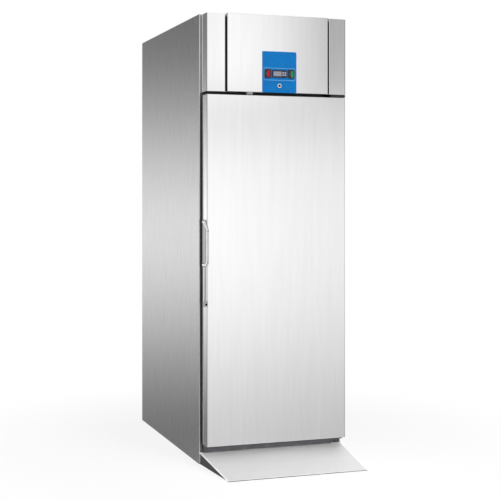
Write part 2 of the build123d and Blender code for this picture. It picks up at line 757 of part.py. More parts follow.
LAMP_LENGTH = 340.0
LAMP_Y = Y_FRONT + 154

with BuildPart() as ceiling_lamp:
    with BuildSketch(Plane.YZ.offset(-LAMP_LENGTH / 2)):
        with BuildLine():
            FilletPolyline(
                (LAMP_Y - 35, CEILING),
                (LAMP_Y - 35, CEILING - 14),
                (LAMP_Y - 24, CEILING - 26),
                (LAMP_Y + 24, CEILING - 26),
                (LAMP_Y + 35, CEILING - 14),
                (LAMP_Y + 35, CEILING),
                radius=4,
            )
            Line((LAMP_Y + 35, CEILING), (LAMP_Y - 35, CEILING))
        make_face()
    extrude(amount=LAMP_LENGTH)
finish_piece(ceiling_lamp, "ceiling_lamp")

# Ramp: tapered deck, rear flange against the cabinet's nose and two set-in cheeks

ramp_rise = FLOOR_TOP - RAMP_GAUGE
ramp_slope = ramp_rise / RAMP_LENGTH
CHEEK_GAUGE = 3.0
CHEEK_INSET = 6.0
HOOK_BOTTOM = 8.0

with BuildPart() as ramp:
    with BuildSketch(Plane.YZ.offset(-X_OUT)):
        outline(
            (Y_FRONT, FLOOR_TOP),
            (Y_FRONT - RAMP_LENGTH, RAMP_GAUGE),
            (Y_FRONT - RAMP_LENGTH, 0),
            (Y_FRONT - RAMP_GAUGE, ramp_rise - RAMP_GAUGE * ramp_slope),
            (Y_FRONT - RAMP_GAUGE, HOOK_BOTTOM),
            (Y_FRONT, HOOK_BOTTOM),
        )
    extrude(amount=WIDTH)
    with BuildSketch(Plane.XY):
        outline(
            (-X_OUT, Y_FRONT),
            (-X_OUT + RAMP_TAPER, Y_FRONT - RAMP_LENGTH),
            (X_OUT - RAMP_TAPER, Y_FRONT - RAMP_LENGTH),
            (X_OUT, Y_FRONT),
        )
    extrude(amount=FLOOR_TOP, mode=Mode.INTERSECT)
    for s in (-1, 1):
        run = Vector(-s * RAMP_TAPER, -RAMP_LENGTH, 0)
        cheek_plane = Plane(
            origin=(s * (X_OUT - CHEEK_INSET), Y_FRONT, 0),
            x_dir=run.normalized(),
            z_dir=run.normalized().cross(Vector(0, 0, 1)),
        )
        with BuildSketch(cheek_plane):
            outline((0, 0), (run.length - 4, 0), (0, ramp_rise))
        extrude(amount=s * CHEEK_GAUGE)
    block((-X_OUT, X_OUT), (Y_FRONT, Y_FRONT + 2 * CHEEK_GAUGE), (0, FLOOR_TOP), mode=Mode.SUBTRACT)
    with Locations(
        *[
            Plane(origin=(x, Y_FRONT - RAMP_GAUGE, FLOOR_TOP / 2), z_dir=(0, -1, 0))
            for x in (-CHAMBER_X, 0, CHAMBER_X)
        ]
    ):
        Hole(radius=SCREW_R, depth=RAMP_GAUGE)
finish_piece(ramp, "ramp")

# Fascia in front of the machine space

corner_y = DOOR_FRONT - CORNER_STEP
corner_x = X_OUT - CORNER_INNER
outer_x = X_OUT - FASCIA_INSET
soffit_front = corner_y + GROOVE_DEPTH + 2
groove_foot = FASCIA_BOTTOM + LIP_HEIGHT + 1

with BuildPart() as fascia_corner_left:
    with BuildSketch(Plane.XY.offset(FASCIA_BOTTOM)):
        bent_sheet(
            [
                (-outer_x + 25, Y_FRONT),
                (-outer_x, Y_FRONT),
                (-outer_x, DOOR_FRONT),
                (-corner_x, corner_y),
                (-corner_x, corner_y + GROOVE_DEPTH),
            ],
            SHEET,
            Side.LEFT,
            radius=(BEND, CORNER_BEND, BEND),
        )
    extrude(amount=FASCIA_TOP - FASCIA_BOTTOM)
    with BuildSketch(Plane.XY.offset(groove_foot)):
        bent_sheet(
            [
                (-corner_x, corner_y + GROOVE_DEPTH - BEND),
                (-corner_x, corner_y + GROOVE_BACK),
                (-corner_x + GROOVE + GROOVE_LAP, corner_y + GROOVE_BACK),
            ],
            SHEET,
            Side.LEFT,
        )
    extrude(amount=FASCIA_TOP - groove_foot)
    mid = SHEET / 2
    with BuildSketch(Plane.XY.offset(FASCIA_TOP - SHEET)):
        with BuildLine():
            FilletPolyline(
                (-outer_x + mid, Y_FRONT - mid),
                (-outer_x + mid, DOOR_FRONT + mid),
                (-corner_x - mid, corner_y + mid),
                (-corner_x - mid, Y_FRONT - mid),
                radius=CORNER_BEND - mid,
                close=True,
            )
        make_face()
    extrude(amount=SHEET)
    with BuildSketch(Plane.XY.offset(FASCIA_BOTTOM)):
        with BuildLine():
            FilletPolyline(
                (-outer_x + mid, soffit_front - 1),
                (-outer_x + mid, DOOR_FRONT + mid),
                (-corner_x - mid, corner_y + mid),
                (-corner_x - mid, soffit_front - 1),
                radius=(CORNER_BEND - mid) / 2,
                close=True,
            )
        make_face()
    extrude(amount=SHEET)
    with Locations(
        Plane(
            origin=(
                -corner_x,
                DOOR_FRONT - PANEL_STEP + PIVOT_BACK,
                FASCIA_TOP + PANEL_RISE - PIVOT_DROP,
            ),
            z_dir=(1, 0, 0),
        )
    ):
        Hole(radius=PIVOT_R, depth=2 * SHEET)
fascia_corner_right = mirrored(fascia_corner_left)
finish_piece(fascia_corner_left, "fascia_corner_left")
finish_piece(fascia_corner_right, "fascia_corner_right")

with BuildPart() as fascia_soffit:
    with BuildSketch(Plane.YZ.offset(-outer_x + SHEET)):
        bent_sheet(
            [
                (soffit_front, FASCIA_BOTTOM + LIP_HEIGHT),
                (soffit_front, FASCIA_BOTTOM),
                (Y_FRONT - SHEET, FASCIA_BOTTOM),
            ],
            SHEET,
            Side.LEFT,
        )
    extrude(amount=2 * (outer_x - SHEET))
finish_piece(fascia_soffit, "fascia_soffit")

with BuildPart() as panel_pivots:
    for s in (-1, 1):
        pivot_plane = Plane(
            origin=(
                s * (corner_x + SHEET),
                DOOR_FRONT - PANEL_STEP + PIVOT_BACK,
                FASCIA_TOP + PANEL_RISE - PIVOT_DROP,
            ),
            z_dir=(-s, 0, 0),
        )
        with BuildSketch(pivot_plane):
            Circle(PIVOT_R)
        extrude(amount=SHEET + GROOVE + SHEET + 6)
        with BuildSketch(pivot_plane):
            Circle(2 * PIVOT_R)
        extrude(amount=-3)
finish_piece(panel_pivots, "panel_pivots")

SWITCH_X = -139.6
SWITCH_SIZE = (30.0, 18.0, 10.0)

with BuildPart() as door_switch:
    block(
        (SWITCH_X - SWITCH_SIZE[0] / 2, SWITCH_X + SWITCH_SIZE[0] / 2),
        (soffit_front + 4, soffit_front + 4 + SWITCH_SIZE[1]),
        (FASCIA_BOTTOM - SWITCH_SIZE[2], FASCIA_BOTTOM),
    )
    fillet(door_switch.edges().filter_by(Axis.Z), radius=3)
    chamfer(door_switch.faces().sort_by(Axis.Z)[0].edges(), length=1.5)
finish_piece(door_switch, "door_switch")

# Hinge brackets: a leg screwed to the frame, an arm under or over the door and its pin

bush_gap = BUSH_FLANGE + ARM_GAP


def hinge_bracket(arm_z, pin_up, leg_z, leg_x):
    """Makes one bracket; the pin points up from the arm, or down where pin_up is -1."""
    with BuildPart() as bracket:
        with BuildSketch(Plane.XY.offset(arm_z)):
            with Locations((PIVOT_X, PIVOT_Y)):
                Circle(3 * PIN_R)
            with Locations((PIVOT_X, (PIVOT_Y + Y_FRONT) / 2)):
                Rectangle(6 * PIN_R, Y_FRONT - PIVOT_Y)
        extrude(amount=ARM_GAUGE)
        block(leg_x, (Y_FRONT - ARM_GAUGE, Y_FRONT), leg_z)
        pin_start = arm_z + ARM_GAUGE if pin_up > 0 else arm_z
        with BuildSketch(Plane.XY.offset(pin_start)):
            with Locations((PIVOT_X, PIVOT_Y)):
                Circle(PIN_R)
        extrude(amount=pin_up * (PIN_LENGTH + bush_gap))
        chamfer(
            bracket.faces().sort_by(Axis.Z)[-1 if pin_up > 0 else 0].edges(), length=1
        )
    return bracket


LEG_MARGIN = 3 * PIN_R
bottom_arm = DOOR_BOTTOM - bush_gap - ARM_GAUGE
top_arm = DOOR_TOP + bush_gap
hinge_bracket_bottom = hinge_bracket(
    bottom_arm,
    1,
    (FLOOR_TOP + 4, bottom_arm + ARM_GAUGE),
    (CHAMBER_X + 6, PIVOT_X + LEG_MARGIN),
)
hinge_bracket_top = hinge_bracket(
    top_arm,
    -1,
    (top_arm, FASCIA_BOTTOM - 0.5),
    (PIVOT_X + LEG_MARGIN - LEG_WIDTH, PIVOT_X + LEG_MARGIN),
)
finish_piece(hinge_bracket_bottom, "hinge_bracket_bottom")
finish_piece(hinge_bracket_top, "hinge_bracket_top")

# Machine space

cond_x = (CONDENSER_X - CONDENSER[0] / 2, CONDENSER_X + CONDENSER[0] / 2)
cond_y = (Y_FRONT + CONDENSER_FACE, Y_FRONT + CONDENSER_FACE + CONDENSER[1])
cond_z = (DECK_TOP + 4, DECK_TOP + 4 + CONDENSER[2])
cond_mid = (cond_y[0] + cond_y[1]) / 2
PLATE_THICK = 2.0
TUBE_R = 4.5
TUBE_ROWS = 6
BEND_REACH = 22.0        # return bend's reach past the end plate
tube_rise = CONDENSER[2] / TUBE_ROWS

with BuildPart() as condenser_coil:
    block(cond_x, cond_y, cond_z)
    fin_slots(cond_x, cond_y, cond_z, 12, 18, 7)
    for s, x in ((-1, cond_x[0]), (1, cond_x[1])):
        with BuildSketch(Plane.YZ.offset(x)):
            with Locations((cond_mid, (cond_z[0] + cond_z[1]) / 2 - 2)):
                Rectangle(CONDENSER[1], CONDENSER[2] + 4)
        extrude(amount=s * PLATE_THICK)
        with BuildSketch(Plane.XY, mode=Mode.PRIVATE) as return_bend:
            with Locations((x, cond_mid)):
                SlotOverall(CONDENSER[1] * 0.7, 2 * BEND_REACH, rotation=90)
            with Locations((x - s * BEND_REACH, cond_mid)):
                Rectangle(2 * BEND_REACH, CONDENSER[1], mode=Mode.SUBTRACT)
            with Locations((x, cond_mid)):
                Circle(BEND_REACH - 2 * TUBE_R, mode=Mode.SUBTRACT)
        for row in range(TUBE_ROWS):
            z = cond_z[0] + (row + 0.25) * tube_rise
            extrude(moved(return_bend.sketch, z - TUBE_R), amount=2 * TUBE_R)
finish_piece(condenser_coil, "condenser_coil")

shroud_y = cond_y[1] + SHROUD_DEPTH
COOLING_SETBACK = 12.0   # fan wheel's front inside the shroud
cooling_plane = Plane(
    origin=(CONDENSER_X, shroud_y - COOLING_SETBACK, (cond_z[0] + cond_z[1]) / 2),
    x_dir=(1, 0, 0),
    z_dir=(0, -1, 0),
)

with BuildPart() as fan_shroud:
    block(cond_x, (cond_y[1], shroud_y), cond_z)
    offset(amount=-SHEET, openings=fan_shroud.faces().sort_by(Axis.Y)[0])
    with BuildSketch(Plane.XZ.offset(-shroud_y)):
        with Locations((CONDENSER_X, (cond_z[0] + cond_z[1]) / 2)):
            Circle(COOLING_FAN_R + 8)
    extrude(amount=-18)
    with BuildSketch(Plane.XZ.offset(-shroud_y - 18)):
        with Locations((CONDENSER_X, (cond_z[0] + cond_z[1]) / 2)):
            Circle(COOLING_FAN_R + 8 - SHEET)
    extrude(amount=18 + 2 * SHEET, both=True, mode=Mode.SUBTRACT)
finish_piece(fan_shroud, "fan_shroud")

COOLING_DEPTH = 34.0
condenser_fan = axial_fan(cooling_plane, COOLING_FAN_R, 30, COOLING_DEPTH, FAN_BLADES)
finish_piece(condenser_fan, "condenser_fan")

motors = [
    fan_motor(
        plane,
        MOTOR_GAP + FAN_DEPTH + FAN_SETBACK - SHEET,
        FAN_OPENING + 12,
        FAN_DEPTH,
    )
    for plane in evaporator_fan_planes
]
motors.append(
    fan_motor(
        cooling_plane,
        MOTOR_GAP + COOLING_DEPTH - COOLING_SETBACK,
        COOLING_FAN_R + 22,
        COOLING_DEPTH,
    )
)
with BuildPart() as fan_motors:
    for motor in motors:
        add(motor.part)
finish_piece(fan_motors, "fan_motors")

shell_z = DECK_TOP + MOUNT_HEIGHT + 3
FOOT_SPACING = (210.0, 130.0)
SEAM_HEIGHT = 95.0       # weld band of the compressor's shell
SEAM_BAND = 14.0
DOME_RISE = 55.0
shell_r = COMPRESSOR_R - 6

with BuildPart() as compressor:
    with BuildSketch(Plane.XY.offset(shell_z - 3)):
        with Locations(COMPRESSOR_AT):
            RectangleRounded(FOOT_SPACING[0] + 30, FOOT_SPACING[1] + 30, 12)
    extrude(amount=3)
    with BuildSketch(Plane.XZ.offset(-COMPRESSOR_AT[1])):
        with BuildLine():
            x, z = COMPRESSOR_AT[0], shell_z
            Polyline(
                (x, z),
                (x + shell_r - 16, z),
                (x + shell_r, z + 22),
                (x + shell_r, z + SEAM_HEIGHT),
                (x + COMPRESSOR_R, z + SEAM_HEIGHT),
                (x + COMPRESSOR_R, z + SEAM_HEIGHT + SEAM_BAND),
                (x + shell_r, z + SEAM_HEIGHT + SEAM_BAND),
                *[
                    (
                        x + shell_r * cos(radians(turn)),
                        z + COMPRESSOR_HEIGHT - DOME_RISE * (1 - sin(radians(turn))),
                    )
                    for turn in (0, 30, 60, 90)
                ],
                close=True,
            )
        make_face()
    revolve(axis=Axis((x, COMPRESSOR_AT[1], 0), (0, 0, 1)))
    block(
        (x - 32, x + 32),
        (COMPRESSOR_AT[1] - COMPRESSOR_R - 28, COMPRESSOR_AT[1] - COMPRESSOR_R / 2),
        (z + 90, z + 165),
    )
    with Locations((x, COMPRESSOR_AT[1], shell_z)):
        with GridLocations(*FOOT_SPACING, 2, 2):
            Hole(radius=4, depth=3)
finish_piece(compressor, "compressor")

with BuildPart() as compressor_mounts:
    with BuildSketch(Plane.XY.offset(DECK_TOP)):
        with Locations(COMPRESSOR_AT):
            with GridLocations(*FOOT_SPACING, 2, 2):
                RegularPolygon(radius=12, side_count=10)
    extrude(amount=MOUNT_HEIGHT)
    with BuildSketch(Plane.XY.offset(DECK_TOP + MOUNT_HEIGHT)):
        with Locations(COMPRESSOR_AT):
            with GridLocations(*FOOT_SPACING, 2, 2):
                Circle(4)
    extrude(amount=8)
finish_piece(compressor_mounts, "compressor_mounts")

shell_top = shell_z + COMPRESSOR_HEIGHT
DRIER_R = 20.0
DRIER_Y = (Y_FRONT + 419, Y_FRONT + 539)
drier_z = cond_z[0] + 0.75 * tube_rise
plate_left = cond_x[0] - PLATE_THICK

discharge_line = tube(
    [
        (COMPRESSOR_AT[0], COMPRESSOR_AT[1], shell_top - 2),
        (COMPRESSOR_AT[0], COMPRESSOR_AT[1], cond_z[1] - tube_rise / 4),
        (COMPRESSOR_AT[0], cond_mid, cond_z[1] - tube_rise / 4),
        (plate_left, cond_mid, cond_z[1] - tube_rise / 4),
    ],
    DISCHARGE_R,
    18,
)
liquid_line = tube(
    [
        (plate_left, cond_mid, drier_z),
        (LIQUID_X, cond_mid, drier_z),
        (LIQUID_X, DRIER_Y[0] + 1, drier_z),
    ],
    LIQUID_R,
    14,
)
feed_line = tube(
    [
        (LIQUID_X, DRIER_Y[1] - 1, drier_z),
        (LIQUID_X, LINE_Y, drier_z),
        (LIQUID_X, LINE_Y, COIL_TOP),
    ],
    LIQUID_R,
    30,
)
suction_line = tube(
    [
        (SUCTION_X, LINE_Y, COIL_TOP),
        (SUCTION_X, LINE_Y, shell_z + 70),
        (SUCTION_X, COMPRESSOR_AT[1], shell_z + 70),
        (COMPRESSOR_AT[0] + shell_r - 2, COMPRESSOR_AT[1], shell_z + 70),
    ],
    SUCTION_R,
    40,
)

with BuildPart() as refrigerant_lines:
    add(discharge_line.part)
    add(liquid_line.part)
    add(feed_line.part)
    add(suction_line.part)
    with BuildSketch(Plane.XZ.offset(-DRIER_Y[0])):
        with Locations((LIQUID_X, drier_z)):
            Circle(DRIER_R)
    extrude(amount=-(DRIER_Y[1] - DRIER_Y[0]))
finish_piece(refrigerant_lines, "refrigerant_lines")

BOX_SIZE = (200.0, 90.0, 150.0)

with BuildPart() as control_box:
    block(
        (-X_OUT + 35, -X_OUT + 35 + BOX_SIZE[0]),
        (Y_FRONT + 24, Y_FRONT + 24 + BOX_SIZE[1]),
        (DECK_TOP, DECK_TOP + BOX_SIZE[2]),
    )
    fillet(control_box.edges().filter_by(Axis.Z), radius=5)
    with BuildSketch(Plane.XY.offset(DECK_TOP + BOX_SIZE[2])):
        with Locations((-X_OUT + 35 + BOX_SIZE[0] / 2, Y_FRONT + 24 + BOX_SIZE[1] / 2)):
            RectangleRounded(BOX_SIZE[0] + 6, BOX_SIZE[1] + 6, 6)
    extrude(amount=-22)
finish_piece(control_box, "control_box")

# Screws: rear grille, and ramp flange to the cabinet's nose

with BuildPart() as cabinet_screws:
    for s in (-1, 1):
        for z in GRILLE_SCREWS:
            head_plane = Plane(origin=(s * screw_x, Y_BACK, z), z_dir=(0, 1, 0))
            with BuildSketch(head_plane):
                RegularPolygon(radius=SCREW_HEAD_R, side_count=6)
            extrude(amount=SCREW_HEAD)
            with BuildSketch(head_plane):
                Circle(SCREW_R)
            extrude(amount=-2 * SHEET)
    for x in (-CHAMBER_X, 0, CHAMBER_X):
        head_plane = Plane(
            origin=(x, Y_FRONT - RAMP_GAUGE, FLOOR_TOP / 2), z_dir=(0, -1, 0)
        )
        with BuildSketch(head_plane):
            RegularPolygon(radius=SCREW_HEAD_R + 1, side_count=6)
        extrude(amount=4)
        with BuildSketch(head_plane):
            Circle(SCREW_R)
        extrude(amount=-RAMP_GAUGE)
finish_piece(cabinet_screws, "cabinet_screws")

# Door


def door_form(inset, edge=0):
    """Makes the door's form, inset at its five outer faces; edge rounds the front ones."""
    with BuildPart() as form:
        with BuildSketch(Plane.XZ.offset(-DOOR_BACK)):
            with Locations((0, (DOOR_TOP + DOOR_BOTTOM) / 2)):
                Rectangle(2 * (DOOR_X - inset), DOOR_TOP - DOOR_BOTTOM - 2 * inset)
        extrude(amount=DOOR_THICK - inset)
        upright = form.edges().filter_by(Axis.Z).group_by(Axis.Y)[0]
        fillet(upright, radius=DOOR_CORNER - inset)
        if edge:
            fillet(form.faces().sort_by(Axis.Y)[0].edges(), radius=edge)
    return form


door_outer = door_form(0, DOOR_EDGE)
door_inner = door_form(SHEET)

with BuildPart() as door_skin:
    add(door_outer.part)
    add(door_inner.part, mode=Mode.SUBTRACT)
    for z in (DOOR_TOP, DOOR_BOTTOM + SHEET):
        with BuildSketch(Plane.XY.offset(z)):
            with Locations((PIVOT_X, PIVOT_Y)):
                Circle(BUSH_R)
        extrude(amount=-SHEET, mode=Mode.SUBTRACT)
finish_piece(door_skin, "door_skin")


def plug_form(inset, base):
    """Makes the raised field of the door's inner sheet, or the foam that fills it."""
    with BuildPart() as form:
        with BuildSketch(Plane.XZ.offset(-base)):
            with Locations((0, (DOOR_TOP + DOOR_BOTTOM) / 2)):
                RectangleRounded(
                    2 * (DOOR_X - PLUG_INSET - inset),
                    DOOR_TOP - DOOR_BOTTOM - 2 * (PLUG_INSET + inset),
                    PLUG_CORNER - inset,
                )
        extrude(amount=-PLUG_RISE, taper=PLUG_TAPER)
    return form


plug_outer = plug_form(0, DOOR_BACK)
plug_inner = plug_form(PLUG_WALL, DOOR_BACK - SHEET)

with BuildPart() as door_liner:
    block(
        (-DOOR_X + SHEET, DOOR_X - SHEET),
        (DOOR_BACK - SHEET, DOOR_BACK),
        (DOOR_BOTTOM + SHEET, DOOR_TOP - SHEET),
    )
    add(plug_outer.part)
    add(plug_inner.part, mode=Mode.SUBTRACT)
finish_piece(door_liner, "door_liner")

with BuildPart() as door_insulation:
    add(door_inner.part)
    block(
        (-DOOR_X, DOOR_X),
        (DOOR_BACK - SHEET, DOOR_BACK),
        (DOOR_BOTTOM, DOOR_TOP),
        mode=Mode.SUBTRACT,
    )
    add(plug_inner.part)
    for z, up in ((DOOR_TOP, -1), (DOOR_BOTTOM, 1)):
        with BuildSketch(Plane.XY.offset(z)):
            with Locations((PIVOT_X, PIVOT_Y)):
                Circle(BUSH_R)
        extrude(amount=up * (PIN_LENGTH + 4), mode=Mode.SUBTRACT)
finish_piece(door_insulation, "door_insulation")

with BuildPart() as hinge_bushes:
    for z, up in ((DOOR_TOP, -1), (DOOR_BOTTOM, 1)):
        with BuildSketch(Plane.XY.offset(z)):
            with Locations((PIVOT_X, PIVOT_Y)):
                Circle(BUSH_R)
        extrude(amount=up * (PIN_LENGTH + 4))
        with BuildSketch(Plane.XY.offset(z)):
            with Locations((PIVOT_X, PIVOT_Y)):
                Circle(BUSH_FLANGE_R)
        extrude(amount=-up * BUSH_FLANGE)
        with BuildSketch(Plane.XY.offset(z - up * BUSH_FLANGE)):
            with Locations((PIVOT_X, PIVOT_Y)):
                Circle(PIN_R + PIN_CLEARANCE)
        extrude(amount=up * (BUSH_FLANGE + PIN_LENGTH + 1), mode=Mode.SUBTRACT)
finish_piece(hinge_bushes, "hinge_bushes")

gasket_x = DOOR_X - GASKET_INSET - GASKET_WIDTH / 2
gasket_top = DOOR_TOP - GASKET_INSET - GASKET_WIDTH / 2
gasket_foot = DOOR_BOTTOM + SWEEP_STRIP + 2
gasket_rise = DOOR_GAP - GASKET_GAP

with BuildPart() as door_gasket:
    with BuildLine() as gasket_route:
        Polyline(
            (-gasket_x, DOOR_BACK, gasket_foot),
            (-gasket_x, DOOR_BACK, gasket_top),
            (gasket_x, DOOR_BACK, gasket_top),
            (gasket_x, DOOR_BACK, gasket_foot),
        )
    with BuildSketch(
        Plane(origin=gasket_route.line @ 0, x_dir=(1, 0, 0), z_dir=(0, 0, 1))
    ):
        half = GASKET_WIDTH / 2
        neck = GASKET_NECK / 2
        outline(
            (-half, 0),
            (half, 0),
            (half, GASKET_BASE),
            (neck, GASKET_BASE),
            (neck, GASKET_BASE + GASKET_NECK),
            (half, GASKET_BASE + GASKET_NECK),
            (half, gasket_rise),
            (-half, gasket_rise),
            (-half, GASKET_BASE + GASKET_NECK),
            (-neck, GASKET_BASE + GASKET_NECK),
            (-neck, GASKET_BASE),
            (-half, GASKET_BASE),
        )
    sweep(transition=Transition.RIGHT)
finish_piece(door_gasket, "door_gasket")

sweep_left = -DOOR_X + SWEEP_MARGIN
sweep_right = PIVOT_X - LEG_MARGIN - SWEEP_MARGIN

with BuildPart() as door_sweep:
    with BuildSketch(Plane.YZ.offset(sweep_left)):
        outline(
            (DOOR_BACK, DOOR_BOTTOM + 2),
            (DOOR_BACK, DOOR_BOTTOM + SWEEP_STRIP),
            (DOOR_BACK + 5, DOOR_BOTTOM + SWEEP_STRIP),
            (DOOR_BACK + 5 + SWEEP_THICK, DOOR_BOTTOM + SWEEP_STRIP - 12),
            (DOOR_BACK + 5 + SWEEP_THICK, FLOOR_TOP + SWEEP_GAP + 8),
            (DOOR_BACK + SWEEP_THICK, FLOOR_TOP + SWEEP_GAP),
            (DOOR_BACK + 5, FLOOR_TOP + SWEEP_GAP),
            (DOOR_BACK + 5, DOOR_BOTTOM + 2),
        )
    extrude(amount=sweep_right - sweep_left)
finish_piece(door_sweep, "door_sweep")

# Handle: base plate on the door's left edge, bow grip, and the lock under it

plate_back = DOOR_BACK - HANDLE_INSET
plate_front = plate_back - HANDLE_PLATE
strip_bottom = HANDLE_TOP - HANDLE_LENGTH - STRIP_LENGTH

with BuildPart() as handle_plate:
    with BuildSketch(Plane.YZ.offset(-DOOR_X)):
        with BuildLine():
            FilletPolyline(
                (plate_back, HANDLE_TOP),
                (plate_front, HANDLE_TOP),
                (plate_front, strip_bottom),
                (plate_front + STRIP_WIDTH, strip_bottom),
                (plate_front + STRIP_WIDTH, HANDLE_TOP - HANDLE_LENGTH),
                (plate_back, HANDLE_TOP - HANDLE_LENGTH),
                radius=5,
                close=True,
            )
        make_face()
    extrude(amount=-HANDLE_GAUGE)
finish_piece(handle_plate, "handle_plate")

grip_y = DOOR_FRONT - GRIP_REACH
grip_x = -DOOR_X - HANDLE_GAUGE - GRIP_THICK / 2

with BuildPart() as handle_grip:
    with BuildLine() as grip_route:
        FilletPolyline(
            (grip_x, plate_back - 28, HANDLE_TOP - 12),
            (grip_x, plate_front + 6, HANDLE_TOP - 12),
            (grip_x, grip_y, HANDLE_TOP - 48),
            (grip_x, grip_y, HANDLE_TOP - HANDLE_LENGTH + 26),
            (grip_x, DOOR_FRONT - 4, HANDLE_TOP - HANDLE_LENGTH + 10),
            (grip_x, plate_back - 28, HANDLE_TOP - HANDLE_LENGTH + 10),
            radius=(22, 26, 14, 14),
        )
    with BuildSketch(
        Plane(
            origin=grip_route.line @ 0, x_dir=(1, 0, 0), z_dir=grip_route.line % 0
        )
    ):
        SlotOverall(GRIP_WIDE, GRIP_THICK, rotation=90)
    sweep()
finish_piece(handle_grip, "handle_grip")

lock_z = strip_bottom + LOCK_SIZE / 2
lock_x = -DOOR_X - HANDLE_GAUGE - 8
lock_front = DOOR_FRONT - LOCK_REACH

with BuildPart() as lock_housing:
    with BuildSketch(Plane.YZ.offset(-DOOR_X - HANDLE_GAUGE)):
        with Locations((lock_front + LOCK_HEAD / 2, lock_z)):
            RectangleRounded(LOCK_HEAD, LOCK_SIZE, 4)
    extrude(amount=-16)
    chamfer(lock_housing.faces().sort_by(Axis.X)[0].edges(), length=1.5)
    with BuildSketch(Plane.YZ.offset(-DOOR_X - HANDLE_GAUGE)):
        with Locations(((lock_front + 8 + plate_front + STRIP_WIDTH - 2) / 2, lock_z)):
            Rectangle(plate_front + STRIP_WIDTH - 10 - lock_front, LOCK_SIZE - 8)
    extrude(amount=-LOCK_FOOT)
    with Locations(Plane(origin=(lock_x, lock_front, lock_z), z_dir=(0, -1, 0))):
        Hole(radius=LOCK_PLUG_R + PLUG_CLEARANCE, depth=20)
finish_piece(lock_housing, "lock_housing")

with BuildPart() as door_lock_plug:
    lock_face = Plane(
        origin=(lock_x, lock_front - 1, lock_z), z_dir=(0, -1, 0)
    )
    with BuildSketch(lock_face):
        Circle(LOCK_PLUG_R)
    extrude(amount=-18)
    with BuildSketch(lock_face):
        Rectangle(1.6, 6)
    extrude(amount=-6, mode=Mode.SUBTRACT)
finish_piece(door_lock_plug, "door_lock_plug")

# Service panel with the controls

panel_x = corner_x - GROOVE
panel_face = DOOR_FRONT - PANEL_STEP
panel_top = FASCIA_TOP + PANEL_RISE
plate_face = panel_face - PLATE_GAUGE
row_z = FASCIA_BOTTOM + ROW_OVER_EDGE
cam_z = FASCIA_BOTTOM + CAM_OVER_EDGE
rocker_xs = (CONTROL_X - ROCKER_SPACING, CONTROL_X + ROCKER_SPACING)
CUT_EASE = 0.2


def control_cutouts(depth):
    """Cuts the display, rocker and lock openings through a sheet at the panel's face."""
    with BuildSketch(Plane.XZ.offset(-panel_face)) as cutouts:
        with Locations((CONTROL_X, row_z)):
            Rectangle(*[size + CUT_EASE for size in CONTROLLER_BODY])
        with Locations(*[(x, row_z) for x in rocker_xs]):
            Rectangle(*[size + CUT_EASE for size in ROCKER_BODY])
        with Locations((CONTROL_X, cam_z)):
            Circle(BARREL_R + CUT_EASE)
    extrude(cutouts.sketch, amount=depth, mode=Mode.SUBTRACT)


with BuildPart() as service_panel:
    block((-panel_x, panel_x), (panel_face, panel_face + PANEL_DEPTH), (FASCIA_BOTTOM, panel_top))
    fillet(service_panel.faces().sort_by(Axis.Y)[0].edges(), radius=PANEL_BEND)
    offset(amount=-SHEET, openings=service_panel.faces().sort_by(Axis.Y)[-1])
    control_cutouts(-2 * SHEET)
    for s in (-1, 1):
        with Locations(
            Plane(
                origin=(s * panel_x, panel_face + PIVOT_BACK, panel_top - PIVOT_DROP),
                z_dir=(s, 0, 0),
            )
        ):
            Hole(radius=PIVOT_R + PIVOT_CLEARANCE, depth=2 * SHEET)
finish_piece(service_panel, "service_panel")

with BuildPart() as control_plate:
    with BuildSketch(Plane.XZ.offset(-panel_face)):
        with Locations((CONTROL_X, FASCIA_BOTTOM + PLATE_HEIGHT / 2)):
            RectangleRounded(PLATE_WIDTH, PLATE_HEIGHT, PLATE_CORNER)
    extrude(amount=PLATE_GAUGE)
    control_cutouts(PLATE_GAUGE)
finish_piece(control_plate, "control_plate")

key_middle = CONTROL_X + CONTROLLER_WIDTH / 2 - 13.5
key_places = [
    (key_middle + i * KEY_PITCH / 2, row_z + j * KEY_PITCH / 2)
    for j in (1, -1)
    for i in (-1, 1)
]

with BuildPart() as controller:
    with BuildSketch(Plane.XZ.offset(-plate_face)):
        with Locations((CONTROL_X, row_z)):
            RectangleRounded(CONTROLLER_WIDTH, CONTROLLER_HEIGHT, 3)
    extrude(amount=CONTROLLER_PROUD)
    chamfer(controller.faces().sort_by(Axis.Y)[0].edges(), length=1)
    with BuildSketch(Plane.XZ.offset(-plate_face)):
        with Locations((CONTROL_X, row_z)):
            Rectangle(*CONTROLLER_BODY)
    extrude(amount=-CONTROLLER_DEPTH)
    with BuildSketch(Plane.XZ.offset(-(plate_face - CONTROLLER_PROUD))):
        with Locations((CONTROL_X - CONTROLLER_WIDTH / 2 + 5 + WINDOW_WIDTH / 2, row_z)):
            Rectangle(WINDOW_WIDTH, WINDOW_HEIGHT)
    extrude(amount=-WINDOW_SINK, mode=Mode.SUBTRACT)
    with BuildSketch(Plane.XZ.offset(-(plate_face - CONTROLLER_PROUD))):
        with Locations(*key_places):
            RectangleRounded(KEY_SIZE + 2 * KEY_GAP, KEY_SIZE + 2 * KEY_GAP, 1.8)
    extrude(amount=-(KEY_THICK + KEY_TRAVEL), mode=Mode.SUBTRACT)
finish_piece(controller, "controller")

for i, place in enumerate(key_places):
    with BuildPart() as key:
        with BuildSketch(Plane.XZ.offset(-(plate_face - CONTROLLER_PROUD - KEY_PROUD))):
            with Locations(place):
                RectangleRounded(KEY_SIZE, KEY_SIZE, 1.5)
        extrude(amount=-KEY_THICK)
        chamfer(key.faces().sort_by(Axis.Y)[0].edges(), length=0.4)
    finish_piece(key, f"controller_key_{i + 1}")

frame_face = plate_face - CONTROLLER_PROUD

